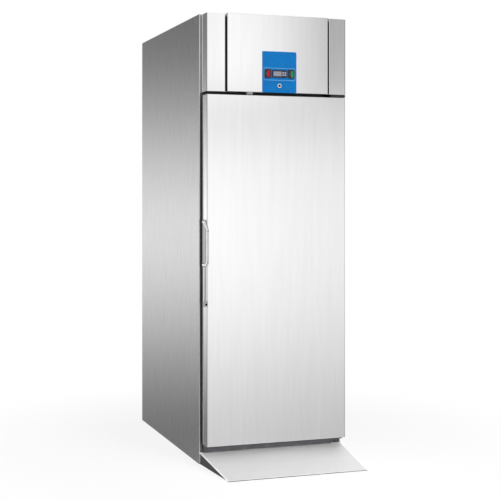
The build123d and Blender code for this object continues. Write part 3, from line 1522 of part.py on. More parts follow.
with BuildPart() as rocker_frames:
    with BuildSketch(Plane.XZ.offset(-plate_face)):
        with Locations(*[(x, row_z) for x in rocker_xs]):
            RectangleRounded(*ROCKER_FRAME, 2.5)
    extrude(amount=CONTROLLER_PROUD)
    with BuildSketch(Plane.XZ.offset(-plate_face)):
        with Locations(*[(x, row_z) for x in rocker_xs]):
            Rectangle(*ROCKER_BODY)
    extrude(amount=-ROCKER_DEPTH)
    with BuildSketch(Plane.XZ.offset(-frame_face)):
        with Locations(*[(x, row_z) for x in rocker_xs]):
            Rectangle(*ROCKER_OPENING)
    extrude(amount=-(CONTROLLER_PROUD + 10), mode=Mode.SUBTRACT)
finish_piece(rocker_frames, "rocker_frames")

ROCKER_HUB = 4.0
ROCKER_MARGIN = 0.5
rocker_centre = ROCKER_RISE - ROCKER_WING * tan(radians(ROCKER_TILT))
# At rest the left wing lies level with the frame, half a millimetre under its face
rocker_pivot = frame_face + ROCKER_MARGIN + rocker_centre * cos(radians(ROCKER_TILT))

for x, name in zip(rocker_xs, ("rocker_left", "rocker_right")):
    with BuildPart() as rocker:
        rocker_plane = Plane.XY.offset(row_z - ROCKER_OPENING[1] / 2 + ROCKER_MARGIN)
        with BuildSketch(rocker_plane):
            with Locations(Location((x, rocker_pivot), -ROCKER_TILT)):
                Polygon(
                    (-ROCKER_WING, -ROCKER_RISE),
                    (0, -rocker_centre),
                    (ROCKER_WING, -ROCKER_RISE),
                    (ROCKER_WING, -ROCKER_RISE + 4),
                    (0, ROCKER_HUB - 1),
                    (-ROCKER_WING, -ROCKER_RISE + 4),
                    align=None,
                )
                Circle(ROCKER_HUB)
        extrude(amount=ROCKER_OPENING[1] - 2 * ROCKER_MARGIN)
    finish_piece(rocker, name)

barrel_face = plate_face - 2
BARREL_LENGTH = 25.0
cam_front = soffit_front + SHEET + 1.2

with BuildPart() as panel_lock_barrel:
    with BuildSketch(Plane.XZ.offset(-plate_face)):
        with Locations((CONTROL_X, cam_z)):
            Circle(BARREL_FLANGE_R)
    extrude(amount=2)
    chamfer(panel_lock_barrel.faces().sort_by(Axis.Y)[0].edges(), length=0.8)
    with BuildSketch(Plane.XZ.offset(-plate_face)):
        with Locations((CONTROL_X, cam_z)):
            Circle(BARREL_R)
    extrude(amount=-BARREL_LENGTH + 2)
    with Locations(Plane(origin=(CONTROL_X, barrel_face, cam_z), z_dir=(0, -1, 0))):
        Hole(radius=CAM_PLUG_R + PLUG_CLEARANCE, depth=BARREL_LENGTH)
finish_piece(panel_lock_barrel, "panel_lock_barrel")

with BuildPart() as panel_lock_plug:
    with BuildSketch(Plane.XZ.offset(-(barrel_face - 0.6))):
        with Locations((CONTROL_X, cam_z)):
            Circle(CAM_PLUG_R)
    extrude(amount=-(cam_front - barrel_face + 0.6))
    with BuildSketch(Plane.XZ.offset(-cam_front)):
        with Locations((CONTROL_X, cam_z)):
            Circle(CAM_PLUG_R + 2)
        with Locations((CONTROL_X + CAM_REACH / 2, cam_z)):
            SlotOverall(CAM_REACH + CAM_WIDTH / 2, CAM_WIDTH)
    extrude(amount=-CAM_GAUGE)
    with BuildSketch(Plane.XZ.offset(-(barrel_face - 0.6))):
        with Locations((CONTROL_X, cam_z)):
            Rectangle(2, 8)
    extrude(amount=-8, mode=Mode.SUBTRACT)
finish_piece(panel_lock_plug, "panel_lock_plug")
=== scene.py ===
"""Looks of a roll-in refrigerator for one trolley.

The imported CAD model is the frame: each piece here is worked out from its nodes' boxes and
rides on one of its bodies. Lengths are metres, and MM turns millimetres into metres.
"""

from __future__ import annotations

import json
import logging
import math
from dataclasses import dataclass
from enum import Enum
from typing import Any, Iterable, Sequence

import bmesh
import bpy
from mathutils import Matrix, Vector

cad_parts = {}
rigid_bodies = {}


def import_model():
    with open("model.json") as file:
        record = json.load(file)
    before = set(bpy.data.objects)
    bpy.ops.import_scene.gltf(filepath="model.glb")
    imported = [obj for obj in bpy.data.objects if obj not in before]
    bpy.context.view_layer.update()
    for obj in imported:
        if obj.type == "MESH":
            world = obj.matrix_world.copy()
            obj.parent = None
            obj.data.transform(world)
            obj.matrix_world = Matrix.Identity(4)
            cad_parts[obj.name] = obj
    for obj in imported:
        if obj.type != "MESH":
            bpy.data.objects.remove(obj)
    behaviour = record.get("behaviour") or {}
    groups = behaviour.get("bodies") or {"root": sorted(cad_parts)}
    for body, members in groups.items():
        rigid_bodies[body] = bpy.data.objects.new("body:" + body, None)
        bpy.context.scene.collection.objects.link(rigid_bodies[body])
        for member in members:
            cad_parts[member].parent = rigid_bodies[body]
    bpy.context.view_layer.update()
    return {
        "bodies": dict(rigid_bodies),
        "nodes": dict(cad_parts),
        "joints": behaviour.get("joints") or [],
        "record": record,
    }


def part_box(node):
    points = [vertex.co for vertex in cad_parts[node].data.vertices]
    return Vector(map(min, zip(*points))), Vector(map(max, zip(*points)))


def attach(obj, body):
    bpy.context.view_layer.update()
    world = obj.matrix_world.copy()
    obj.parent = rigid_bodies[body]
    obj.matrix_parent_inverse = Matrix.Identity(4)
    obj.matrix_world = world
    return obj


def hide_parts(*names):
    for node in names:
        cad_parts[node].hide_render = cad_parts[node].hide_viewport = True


LOG = logging.getLogger("roll_in_refrigerator")
MM = 0.001
QUARTER = math.pi / 2
# Points nearer than this are one point
TOUCH = 1e-6
SIDES = (("left", -1), ("right", 1))
Point = Sequence[float]
Stops = Sequence[tuple[float, float]]
Node = bpy.types.Node
Socket = bpy.types.NodeSocket
Tree = bpy.types.NodeTree


# Helpers for places, nodes and objects


def srgb(code: str) -> tuple[float, float, float, float]:
    """Turns an sRGB hex colour into linear values.

    Args:
        code: Six hex digits after a hash sign.

    Returns:
        Linear red, green and blue, with an alpha of one.
    """
    channels = [int(code[i : i + 2], 16) / 255 for i in (1, 3, 5)]
    linear = [c / 12.92 if c <= 0.04045 else ((c + 0.055) / 1.055) ** 2.4 for c in channels]
    return (linear[0], linear[1], linear[2], 1.0)


def middle(node: str) -> list[float]:
    """Returns the middle of a CAD node's box."""
    return [(low + high) / 2 for low, high in zip(*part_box(node))]


def quarter(steps: int, start: int = 0) -> list[float]:
    """Returns the angles that divide a quarter turn, which starts after some others."""
    return [(start + i / steps) * QUARTER for i in range(steps + 1)]


def add_node(tree: Tree, kind: str, inputs: dict[Any, Any] | None = None, **settings: Any) -> Node:
    """Adds a node with its settings and its inputs.

    Args:
        tree: Node tree that gets the node.
        kind: The node's type name.
        inputs: Socket names or places, each with a value or with what is linked to it: an
            output socket, or a node for its first output.
        settings: The node's own properties.

    Returns:
        The new node.
    """
    node = tree.nodes.new(kind)
    for key, value in settings.items():
        setattr(node, key, value)
    for key, value in (inputs or {}).items():
        source = value.outputs[0] if isinstance(value, Node) else value
        if isinstance(source, Socket):
            tree.links.new(source, node.inputs[key])
        else:
            node.inputs[key].default_value = source
    return node


def empty_tree(owner: bpy.types.Material | bpy.types.World) -> Tree:
    """Gives a material or a world a node tree without nodes.

    Args:
        owner: The material or the world.

    Returns:
        The tree.
    """
    owner.use_nodes = True
    owner.node_tree.nodes.clear()
    return owner.node_tree


def place_object(name: str, data: bpy.types.ID) -> bpy.types.Object:
    """Puts a mesh, lamp or camera in the scene.

    Args:
        name: The object's name.
        data: What it shows.

    Returns:
        The object.
    """
    made = bpy.data.objects.new(name, data)
    bpy.context.scene.collection.objects.link(made)
    return made


def place_mesh(name: str, mesh: bmesh.types.BMesh) -> bpy.types.Object:
    """Turns a mesh under work into an object in the scene.

    Args:
        name: The object's name.
        mesh: The mesh, which is used up.

    Returns:
        The object.
    """
    data = bpy.data.meshes.new(name)
    mesh.to_mesh(data)
    mesh.free()
    return place_object(name, data)


# Finishes

# Map Range inputs that take the middle of a noise, where most of its values are
NOISE_BODY = {1: 0.3, 2: 0.7}
MADE: dict[str, bpy.types.Material] = {}


class Grain(Enum):
    """The way scratches run, after the axis that the sheet's radial tangent turns about."""

    UPRIGHT = ("Z", (0, 0, 1))
    ACROSS = ("Y", (1, 0, 0))


@dataclass(frozen=True)
class Finish:
    """A surface finish of two tones, which makes its material once and dresses pieces."""

    name: str
    color: str
    shade_color: str
    roughness: float

    def material(self) -> bpy.types.Material:
        """Makes the finish's material when it is first asked for.

        The loaded model brings a plain material of the same name, whose nodes are replaced.

        Returns:
            The material.
        """
        if self.name not in MADE:
            made = bpy.data.materials.get(self.name) or bpy.data.materials.new(self.name)
            tree = empty_tree(made)
            add_node(tree, "ShaderNodeOutputMaterial", {"Surface": self.shade(tree)})
            made.diffuse_color = srgb(self.color)
            MADE[self.name] = made
        return MADE[self.name]

    def shade(self, tree: Tree) -> Node:
        """Builds the shader that the material shows."""
        raise NotImplementedError

    def pattern(self, tree: Tree, kind: str, step: Point, **inputs: float) -> Node:
        """Adds a pattern at its real size in object coordinates.

        Args:
            tree: The material's node tree.
            kind: The type name of the pattern's texture node.
            step: Size of a grain or cell along x, y and z, in millimetres.
            inputs: The texture node's own inputs.

        Returns:
            The texture node.
        """
        spot = add_node(tree, "ShaderNodeTexCoord").outputs["Object"]
        scale = [1 / MM / size for size in step]
        vector = add_node(tree, "ShaderNodeMapping", {"Vector": spot, "Scale": scale})
        return add_node(tree, kind, {"Vector": vector, "Scale": 1.0, **inputs})

    def surface(
        self,
        tree: Tree,
        tone: Node | Socket,
        inputs: dict[str, Any],
        gloss: Node | Socket | None = None,
        swing: tuple[float, float] = (1.0, 1.0),
        colored: Sequence[str] = ("Base Color",),
    ) -> Node:
        """Adds the shader with its two tones and an even or patterned roughness.

        Args:
            tree: The material's node tree.
            tone: Pattern that goes from the shade colour at 0 to the main one at 1.
            inputs: The shader's other inputs.
            gloss: Pattern that the roughness follows, or None for an even one.
            swing: Shares of the roughness at that pattern's two ends.
            colored: Inputs that take the colour.

        Returns:
            The shader.
        """
        tones = {0: tone, 6: srgb(self.shade_color), 7: srgb(self.color)}
        color = add_node(tree, "ShaderNodeMix", tones, data_type="RGBA").outputs[2]
        roughness: float | Node = self.roughness
        if gloss is not None:
            ends = {3: self.roughness * swing[0], 4: self.roughness * swing[1]}
            roughness = add_node(tree, "ShaderNodeMapRange", {0: gloss, **NOISE_BODY, **ends})
        inputs = {**dict.fromkeys(colored, color), "Roughness": roughness, **inputs}
        return add_node(tree, "ShaderNodeBsdfPrincipled", inputs)

    def dress(self, *pieces: bpy.types.Object) -> None:
        """Puts this finish on whole pieces."""
        for piece in pieces:
            piece.data.materials.clear()
            piece.data.materials.append(self.material())


@dataclass(frozen=True)
class BrushedMetal(Finish):
    """Sheet drawn through abrasive belts: long fine scratches that blur light across them."""

    anisotropy: float = 0.7
    scratch_width: float = 1.2
    scratch_length: float = 160.0
    scratch_depth: float = 0.2
    streak_width: float = 14.0
    streak_stretch: float = 14.0
    streak_share: float = 0.45
    relief: float = 0.02
    grain: Grain = Grain.UPRIGHT
    metallic: float = 1.0

    def shade(self, tree: Tree) -> Node:
        """Builds a metal whose tones, roughness and relief follow its scratches.

        Args:
            tree: The material's node tree.

        Returns:
            The shader.
        """
        axis, along = self.grain.value
        fine, broad = [
            self.pattern(tree, "ShaderNodeTexNoise", [far if way else near for way in along], Detail=detail)
            for near, far, detail in (
                (self.scratch_width, self.scratch_length, 3.0),
                (self.streak_width, self.streak_stretch * self.streak_width, 2.0),
            )
        ]
        shares = {0: self.streak_share, 2: fine, 3: broad}
        both = add_node(tree, "ShaderNodeMix", shares, data_type="FLOAT")
        tone = add_node(tree, "ShaderNodeMapRange", {0: both, **NOISE_BODY})
        height = {"Height": fine, "Strength": self.relief, "Distance": self.scratch_depth * MM}
        inputs = {
            "Metallic": self.metallic,
            "Anisotropic": self.anisotropy,
            "Tangent": add_node(tree, "ShaderNodeTangent", direction_type="RADIAL", axis=axis),
            "Normal": add_node(tree, "ShaderNodeBump", height),
        }
        return self.surface(tree, tone, inputs, fine, (0.85, 1.15))


@dataclass(frozen=True)
class ZincSpangle(Finish):
    """Hot-dip zinc: flat crystals a few millimetres wide, each a little lighter or darker."""

    spangle: float = 9.0

    def shade(self, tree: Tree) -> Node:
        """Builds a metal broken up into crystals, each with a tone and a roughness.

        Args:
            tree: The material's node tree.

        Returns:
            The shader.
        """
        cells = self.pattern(tree, "ShaderNodeTexVoronoi", [self.spangle] * 3)
        chances = add_node(tree, "ShaderNodeSeparateColor", {0: cells.outputs["Color"]}).outputs
        return self.surface(tree, chances[0], {"Metallic": 1.0}, chances[1], (0.8, 1.2))


@dataclass(frozen=True)
class PlainMetal(Finish):
    """Drawn, plated or machined metal with a faint cloud of handling and tarnish."""

    cloud: float = 25.0

    def shade(self, tree: Tree) -> Node:
        """Builds a metal with a soft cloud in its tones and roughness.

        Args:
            tree: The material's node tree.

        Returns:
            The shader.
        """
        cloud = self.pattern(tree, "ShaderNodeTexNoise", [self.cloud] * 3, Detail=4.0)
        tone = add_node(tree, "ShaderNodeMapRange", {0: cloud, **NOISE_BODY})
        return self.surface(tree, tone, {"Metallic": 1.0}, cloud, (0.7, 1.4))


@dataclass(frozen=True)
class Coating(Finish):
    """Paint, moulded plastic or rubber: a body colour under a textured, glossy or matt skin."""

    grit: float = 1.5
    relief: float = 0.1
    specular: float = 0.5
    coat: float = 0.0
    coat_roughness: float = 0.1
    emission: float = 0.0
    cloud_stretch: float = 30.0

    def shade(self, tree: Tree) -> Node:
        """Builds a non-metal with a fine relief and a faint cloud in its tones.

        Args:
            tree: The material's node tree.

        Returns:
            The shader.
        """
        step = self.cloud_stretch * self.grit
        cloud = self.pattern(tree, "ShaderNodeTexNoise", [step] * 3, Detail=3.0)
        grit = self.pattern(tree, "ShaderNodeTexNoise", [self.grit] * 3, Detail=2.0)
        tone = add_node(tree, "ShaderNodeMapRange", {0: cloud, **NOISE_BODY})
        height = {"Height": grit, "Strength": self.relief, "Distance": self.grit * MM / 4}
        inputs = {
            "Specular IOR Level": self.specular,
            "Coat Weight": self.coat,
            "Coat Roughness": self.coat_roughness,
            "Normal": add_node(tree, "ShaderNodeBump", height),
        }
        colored = ["Base Color"]
        if self.emission:
            colored.append("Emission Color")
            inputs["Emission Strength"] = self.emission
        return self.surface(tree, tone, inputs, grit, (0.9, 1.1), colored)


@dataclass(frozen=True)
class CutFoam(Finish):
    """Poured polyurethane foam: pale yellow, dry, with small open cells."""

    cell: float = 2.5
    relief: float = 0.4
    depth: float = 1.0

    def shade(self, tree: Tree) -> Node:
        """Builds a dry foam with cells in its tones and relief.

        Args:
            tree: The material's node tree.

        Returns:
            The shader.
        """
        cells = self.pattern(tree, "ShaderNodeTexVoronoi", [self.cell] * 3).outputs["Distance"]
        height = {"Height": cells, "Strength": self.relief, "Distance": self.depth * MM}
        return self.surface(tree, cells, {"Normal": add_node(tree, "ShaderNodeBump", height)})


SATIN_BELT = {"scratch_width": 0.8, "scratch_length": 120.0, "streak_width": 22.0}
CLEAR_LENS = {
    "grit": 1.5,
    "relief": 0.02,
    "specular": 0.2,
    "coat": 0.1,
    "coat_roughness": 0.05,
    "emission": 0.05,
}

# Belt-brushed stainless of panels and liners: grey, scratched upright, blurring light sideways
SIDE_STEEL = BrushedMetal("stainless_brushed", "#DCDCDC", "#C8C8C9", 0.26, anisotropy=0.85)
# Finer satin stainless of the door: bright, nearly even
SATIN_STEEL = BrushedMetal(
    "stainless_satin", "#EFEFF0", "#E8E8E9", 0.13, anisotropy=0.45, relief=0.01, **SATIN_BELT
)
# Polished satin of the fascia: reflects a little more clearly
FASCIA_STEEL = BrushedMetal(
    "stainless_fascia", "#EFEFF0", "#E8E8E9", 0.13, anisotropy=0.4, relief=0.008, **SATIN_BELT
)
# Ramp's sheet, brushed across its width and worn matt, so it scatters more than it mirrors
RAMP_STEEL = BrushedMetal(
    "stainless_ramp",
    "#DCDCDC",
    "#D4D4D4",
    0.55,
    anisotropy=0.3,
    scratch_width=1.0,
    scratch_length=120.0,
    streak_width=18.0,
    grain=Grain.ACROSS,
    metallic=0.35,
)
# Pale strips on the ramp's rims: painted highlight, white and hardly metallic, for the light that a rounded
# edge catches
RAMP_PAINTED_HIGHLIGHT = BrushedMetal(
    "ramp_rim_painted_highlight",
    "#FFFFFF",
    "#FAFAFA",
    0.3,
    anisotropy=0.2,
    scratch_width=1.0,
    scratch_length=90.0,
    streak_width=18.0,
    relief=0.01,
    grain=Grain.ACROSS,
    metallic=0.15,
)
# Handle's base plate and lock housing: pressed steel, greyer than the door, partly its own tone and partly
# painted shade that deepens the dark line between plate and bow
HANDLE_STEEL = BrushedMetal("stainless_grey_and_painted_shade", "#BFBFC1", "#A6A6A9", 0.3, anisotropy=0.6)
# Door lock's plug: glossy and nearly black, painted shade for the dark hollow of the lock
LOCK_PLUG_PAINTED_SHADE = PlainMetal("lock_plug_painted_shade", "#2C2C2F", "#1E1E21", 0.22)
# Galvanised deck, rear panel and grille: dull crystals
GALVANISED = ZincSpangle("galvanised", "#B4B8BA", "#A3A8AB", 0.3)
# Zinc-plated pivots and screws: pale, slightly warm, half bright
ZINC_PLATE = PlainMetal("zinc_steel", "#C9C7C0", "#A9A8A4", 0.32)
# Blackened steel of hinge brackets and the panel lock's plug: dark, oily
DARK_STEEL = PlainMetal("dark_steel", "#5C5C5F", "#3A3A3D", 0.3)
# Bright chrome plating of the handle and the fan guards: near mirror
CHROME = PlainMetal("chrome_wire", "#E8E8EA", "#D2D2D6", 0.09, cloud=40.0)
# Mill-finish aluminium fins: pale, soft sheen along the coil
FIN_STOCK = BrushedMetal(
    "aluminium_fins",
    "#D4D6D8",
    "#B6B8BB",
    0.34,
    anisotropy=0.3,
    scratch_width=3.0,
    scratch_length=60.0,
    streak_width=30.0,
    relief=0.01,
)
# Drawn copper tube, a little tarnished
COPPER = PlainMetal("copper", "#D08A62", "#A8623F", 0.24, cloud=18.0)
# Stoved semi-gloss black of the compressor: faint orange peel
BLACK_PAINT = Coating("black_paint", "#26262A", "#1C1C20", 0.32, grit=2.4, relief=0.08)
# Dark grey, dull sheet on the ramp's cheeks: painted shade, where the set-in cheeks lie in shade
RAMP_CHEEK_PAINTED_SHADE = Coating("ramp_cheek_painted_shade", "#4A4A4C", "#3E3E40", 0.6, grit=1.2, relief=0.06, specular=0.3)
# Blue printed film under clear polyester: even colour, soft gloss
BLUE_FILM = Coating("blue_film", "#0A80CE", "#0878C6", 0.5, grit=0.8, relief=0.03, specular=0.1)
# Pale blue line printed on the film
PALE_PRINT = Coating("pale_print", "#90C8F0", "#86BFEA", 0.5, grit=0.8, relief=0.03, specular=0.12)
# Textured black ABS housings
DARK_PLASTIC = Coating("dark_plastic", "#2A2523", "#211D1C", 0.42, grit=0.8, relief=0.15)
# Dark grey PVC of the door frame and the control box
GREY_PLASTIC = Coating("grey_plastic", "#4B4B4D", "#414143", 0.45, grit=0.6, relief=0.08, specular=0.3)
# Lilac grey ABS keys
KEY_PLASTIC = Coating("key_plastic", "#A29EB6", "#9692AA", 0.4, grit=0.6, relief=0.08)
# White ABS of the lamp's housing and the door switch
WHITE_PLASTIC = Coating("white_plastic", "#E9E9E4", "#E0E0DA", 0.35, grit=1.2, relief=0.05)
# Clear red polycarbonate over a lamp: saturated and glossy
RED_LENS = Coating("red_plastic", "#D00E26", "#BA0A1D", 0.18, **CLEAR_LENS)
# Clear green polycarbonate over a lamp
GREEN_LENS = Coating("green_plastic", "#0EA155", "#0A8F48", 0.18, **CLEAR_LENS)
# Extruded PVC gasket: dark grey, matt
GREY_RUBBER = Coating("grey_rubber", "#3F3F41", "#363638", 0.68, grit=1.0, relief=0.12, specular=0.2)
# Black EPDM: deep, matt
BLACK_RUBBER = Coating("black_rubber", "#232325", "#1B1B1D", 0.75, grit=1.0, relief=0.15, specular=0.3)
# Cut polyurethane foam: pale yellow, dull
FOAM = CutFoam("foam", "#EFE0A6", "#D8C682", 0.95)
# Smoked acrylic window of the display: lilac grey, polished
DISPLAY_WINDOW = Coating(
    "display_window",
    "#9594A2",
    "#8C8B99",
    0.12,
    grit=3.0,
    relief=0.01,
    specular=0.3,
    coat=0.1,
    coat_roughness=0.05,
)
# Unlit bars of the digits in the window
DISPLAY_BARS = Coating("display_bars", "#BCBAC9", "#B2B0BF", 0.3, grit=1.0, relief=0.02)
# White ink of the key rings and switch signs
WHITE_INK = Coating("white_ink", "#D8D4DA", "#CFCBD2", 0.45, grit=0.8, relief=0.02)
# Frosted acrylic lens of the ceiling lamp
LAMP_LENS = Coating("lamp_lens", "#F4F4EE", "#ECECE6", 0.3, relief=0.04, coat=0.2)

SLOT_FINISHES: dict[str, Finish] = {
    finish.name: finish
    for finish in (
        SIDE_STEEL, SATIN_STEEL, GALVANISED, ZINC_PLATE, DARK_STEEL, CHROME, FIN_STOCK, COPPER,
        BLACK_PAINT, BLUE_FILM, DARK_PLASTIC, GREY_PLASTIC, WHITE_PLASTIC, RED_LENS, GREEN_LENS,
        GREY_RUBBER, BLACK_RUBBER, FOAM,
    )
}
# CAD nodes whose finish differs from their slot's
OWN_FINISHES: dict[str, Finish] = {
    "ramp": RAMP_STEEL,
    "fascia_corner_left": FASCIA_STEEL,
    "fascia_corner_right": FASCIA_STEEL,
    "service_panel": FASCIA_STEEL,
    "handle_plate": HANDLE_STEEL,
    "lock_housing": HANDLE_STEEL,
    "door_lock_plug": LOCK_PLUG_PAINTED_SHADE,
    **{f"controller_key_{number}": KEY_PLASTIC for number in range(1, 5)},
}


# Shaping


def edges_of(verts: Iterable[bmesh.types.BMVert], way: Point | None = None) -> list[bmesh.types.BMEdge]:
    """Finds the edges that meet some vertices.

    Args:
        verts: The vertices.
        way: Keeps only the edges that run this way, where given.

    Returns:
        The edges, each once.
    """
    edges = list(dict.fromkeys(edge for vert in verts for edge in vert.link_edges))
    if way is None:
        return edges
    along = Vector(way).normalized()
    runs = [(edge.verts[1].co - edge.verts[0].co).normalized() for edge in edges]
    return [edge for edge, run in zip(edges, runs) if abs(run.dot(along)) > 0.9]


class Workpiece:
    """A mesh under work that becomes one object riding on a body."""

    def __init__(self, name: str) -> None:
        """Starts an empty mesh under the finished object's name."""
        self.name = name
        self.mesh = bmesh.new()

    def bevel(self, edges: list[bmesh.types.BMEdge], radius: float, segments: int) -> None:
        """Rounds edges to a radius, with a number of faces across the rounding."""
        bmesh.ops.bevel(
            self.mesh,
            geom=edges,
            offset=radius,
            segments=segments,
            profile=0.5,
            affect="EDGES",
            material=-1,
            clamp_overlap=True,
        )

    def block(
        self,
        corner: Point,
        opposite: Point,
        radius: float = 0.0,
        segments: int = 2,
        along: Point | None = None,
    ) -> None:
        """Adds a straight block, with its edges rounded if asked.

        Args:
            corner: One corner.
            opposite: The corner opposite to it.
            radius: Edge radius.
            segments: Faces across the rounding.
            along: Rounds only the edges that run this way, where given.
        """
        spans = [sorted(pair) for pair in zip(corner, opposite)]
        centre = Vector([(low + high) / 2 for low, high in spans])
        size = [high - low for low, high in spans]
        matrix = Matrix.Translation(centre) @ Matrix.Diagonal((*size, 1))
        made = bmesh.ops.create_cube(self.mesh, size=1, matrix=matrix)["verts"]
        if radius:
            self.bevel(edges_of(made, along), radius, segments)

    def drum(
        self,
        centre: Point,
        axis: Point,
        radius: float,
        length: float,
        sides: int = 32,
        far_radius: float | None = None,
        bevel: float = 0.0,
    ) -> None:
        """Adds a closed drum or cone.

        Args:
            centre: Middle of the near end.
            axis: Way from the near end to the far one.
            radius: Radius at the near end.
            length: Length along the axis.
            sides: Faces round it.
            far_radius: Radius at the far end, where it differs.
            bevel: Rounding of the far rim.
        """
        way = Vector(axis).normalized()
        turn = way.to_track_quat("Z", "Y").to_matrix().to_4x4()
        made = bmesh.ops.create_cone(
            self.mesh,
            cap_ends=True,
            cap_tris=False,
            segments=sides,
            radius1=radius,
            radius2=radius if far_radius is None else far_radius,
            depth=length,
            matrix=Matrix.Translation(Vector(centre) + way * length / 2) @ turn,
        )["verts"]
        if bevel:
            end = Vector(centre) + way * length
            far = {vert for vert in made if abs((vert.co - end).dot(way)) < TOUCH}
            self.bevel([edge for edge in edges_of(made) if far.issuperset(edge.verts)], bevel, 2)

    def lathe(self, profile: Sequence[Point], centre: Point, axis: Point, steps: int) -> None:
        """Turns an open line about an axis.

        Args:
            profile: The line's points in space.
            centre: A point on the axis.
            axis: The axis.
            steps: Faces round it.
        """
        verts = [self.mesh.verts.new(point) for point in profile]
        edges = [self.mesh.edges.new(pair) for pair in zip(verts, verts[1:])]
        bmesh.ops.spin(
            self.mesh,
            geom=verts + edges,
            cent=centre,
            axis=axis,
            dvec=(0, 0, 0),
            angle=2 * math.pi,
            steps=steps,
            use_merge=True,
        )

    def ring(
        self, centre: Point, radii: Sequence[float], near: float, far: float, steps: int
    ) -> None:
        """Adds a flat ring that faces the front.

        Args:
            centre: Middle of the ring.
            radii: Outer and inner radius.
            near: Front face's place along y, from the middle.
            far: Rear face's place along y, from the middle.
            steps: Faces round it.
        """
        outer, inner = radii
        corners = ((outer, near), (inner, near), (inner, far), (outer, far), (outer, near))
        x, y, z = centre
        self.lathe([(x + radius, y + place, z) for radius, place in corners], centre, (0, 1, 0), steps)

    def pull(self, faces: list[bmesh.types.BMFace], way: Point) -> bmesh.types.BMFace:
        """Extrudes faces.

        Args:
            faces: The faces.
            way: How far they go.

        Returns:
            The first of the moved faces.
        """
        grown = bmesh.ops.extrude_face_region(self.mesh, geom=faces)["geom"]
        moved = [item for item in grown if isinstance(item, bmesh.types.BMVert)]
        bmesh.ops.translate(self.mesh, verts=moved, vec=way)
        return next(item for item in grown if isinstance(item, bmesh.types.BMFace))

    def slab(self, outline: Sequence[Point], way: Point) -> None:
        """Adds a flat slab from the corners of one face and its thickness as a vector."""
        face = self.mesh.faces.new([self.mesh.verts.new(point) for point in outline])
        self.pull([face], way)

    def sweep(
        self,
        section: Sequence[tuple[float, float]],
        route: Sequence[Point],
        bends: Sequence[float],
        side: Point,
        steps: int = 8,
    ) -> None:
        """Runs a closed section along straight runs and round bends.

        Args:
            section: The section's points, along the side way and across it.
            route: Corner points of the route.
            bends: Bend radius at each inner corner.
            side: A way that stays square to the first run.
            steps: Faces along each bend.
        """
        points = [Vector(point) for point in route]
        first = Vector(side).normalized()
        second = (points[1] - points[0]).normalized().cross(first)
        verts = [self.mesh.verts.new(points[0] + first * a + second * b) for a, b in section]
        face = self.mesh.faces.new(verts)
        place = points[0]
        for i, corner in enumerate(points[1:]):
            last = i == len(points) - 2
            way = (corner - points[i]).normalized()
            onward = way if last else (points[i + 2] - corner).normalized()
            angle = way.angle(onward)
            cut = 0 if last else bends[i] * math.tan(angle / 2)
            stop = corner - way * cut
            pulled = self.pull([face], stop - place)
            self.mesh.faces.remove(face)
            face = pulled
            if last:
                return
            turn_axis = way.cross(onward).normalized()
            spun = bmesh.ops.spin(
                self.mesh,
                geom=[face],
                cent=stop + turn_axis.cross(way) * bends[i],
                axis=turn_axis,
                dvec=(0, 0, 0),
                angle=angle,
                steps=steps,
                use_merge=False,
                use_duplicate=False,
            )["geom_last"]
            if face.is_valid:
                self.mesh.faces.remove(face)
            face = next(item for item in spun if isinstance(item, bmesh.types.BMFace))
            place = corner + onward * cut

    def finish(
        self, body: str, finish: Finish, slot: str | None = None, angle: float = 35.0
    ) -> bpy.types.Object:
        """Closes the mesh, dresses it and lets it ride.

        Args:
            body: CAD body that it moves with.
            finish: Its finish.
            slot: The record's material slot, or None for a finish of its own; not used.
            angle: Edges sharper than this many degrees stay crisp.

        Returns:
            The finished object.
        """
        bmesh.ops.remove_doubles(self.mesh, verts=self.mesh.verts, dist=TOUCH)
        bmesh.ops.recalc_face_normals(self.mesh, faces=self.mesh.faces)
        for face in self.mesh.faces:
            face.smooth = True
        for edge in self.mesh.edges:
            if len(edge.link_faces) == 2:
                edge.smooth = edge.calc_face_angle(0.0) < math.radians(angle)
        made = place_mesh(self.name, self.mesh)
        finish.dress(made)
        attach(made, body)
        LOG.info("piece %s on %s: %d faces", self.name, body, len(made.data.polygons))
        return made


def round_section(radius: float, sides: int) -> list[tuple[float, float]]:
    """Returns the points of a round section with a number of sides."""
    turns = [2 * math.pi / sides * i for i in range(sides)]
    return [(radius * math.cos(turn), radius * math.sin(turn)) for turn in turns]


def oblong_section(width: float, height: float, sides: int = 8) -> list[tuple[float, float]]:
    """Works out an oblong with half-round ends, long along the second way.

    Args:
        width: Width, which is also the ends' diameter.
        height: Height over both ends.
        sides: Sides of each half-round end.

    Returns:
        The section's points.
    """
    radius = width / 2
    points = []
    for end, start in ((1, 0.0), (-1, math.pi)):
        for i in range(sides + 1):
            turn = math.pi * i / sides + start
            rise = end * (height / 2 - radius) + radius * math.sin(turn)
            points.append((radius * math.cos(turn), rise))
    return points


# Sub-assemblies


@dataclass
class Enclosure:
    """The CAD nodes that show as they are, each in its own or its slot's finish."""

    frame: dict[str, Any]

    def build(self) -> None:
        """Dresses each CAD node."""
        for row in self.frame["record"]["subparts"]:
            name = row["node"]
            finish = OWN_FINISHES.get(name, SLOT_FINISHES[row["material_slot"]])
            finish.dress(self.frame["nodes"][name])
        LOG.info("dressed %d CAD nodes", len(self.frame["nodes"]))


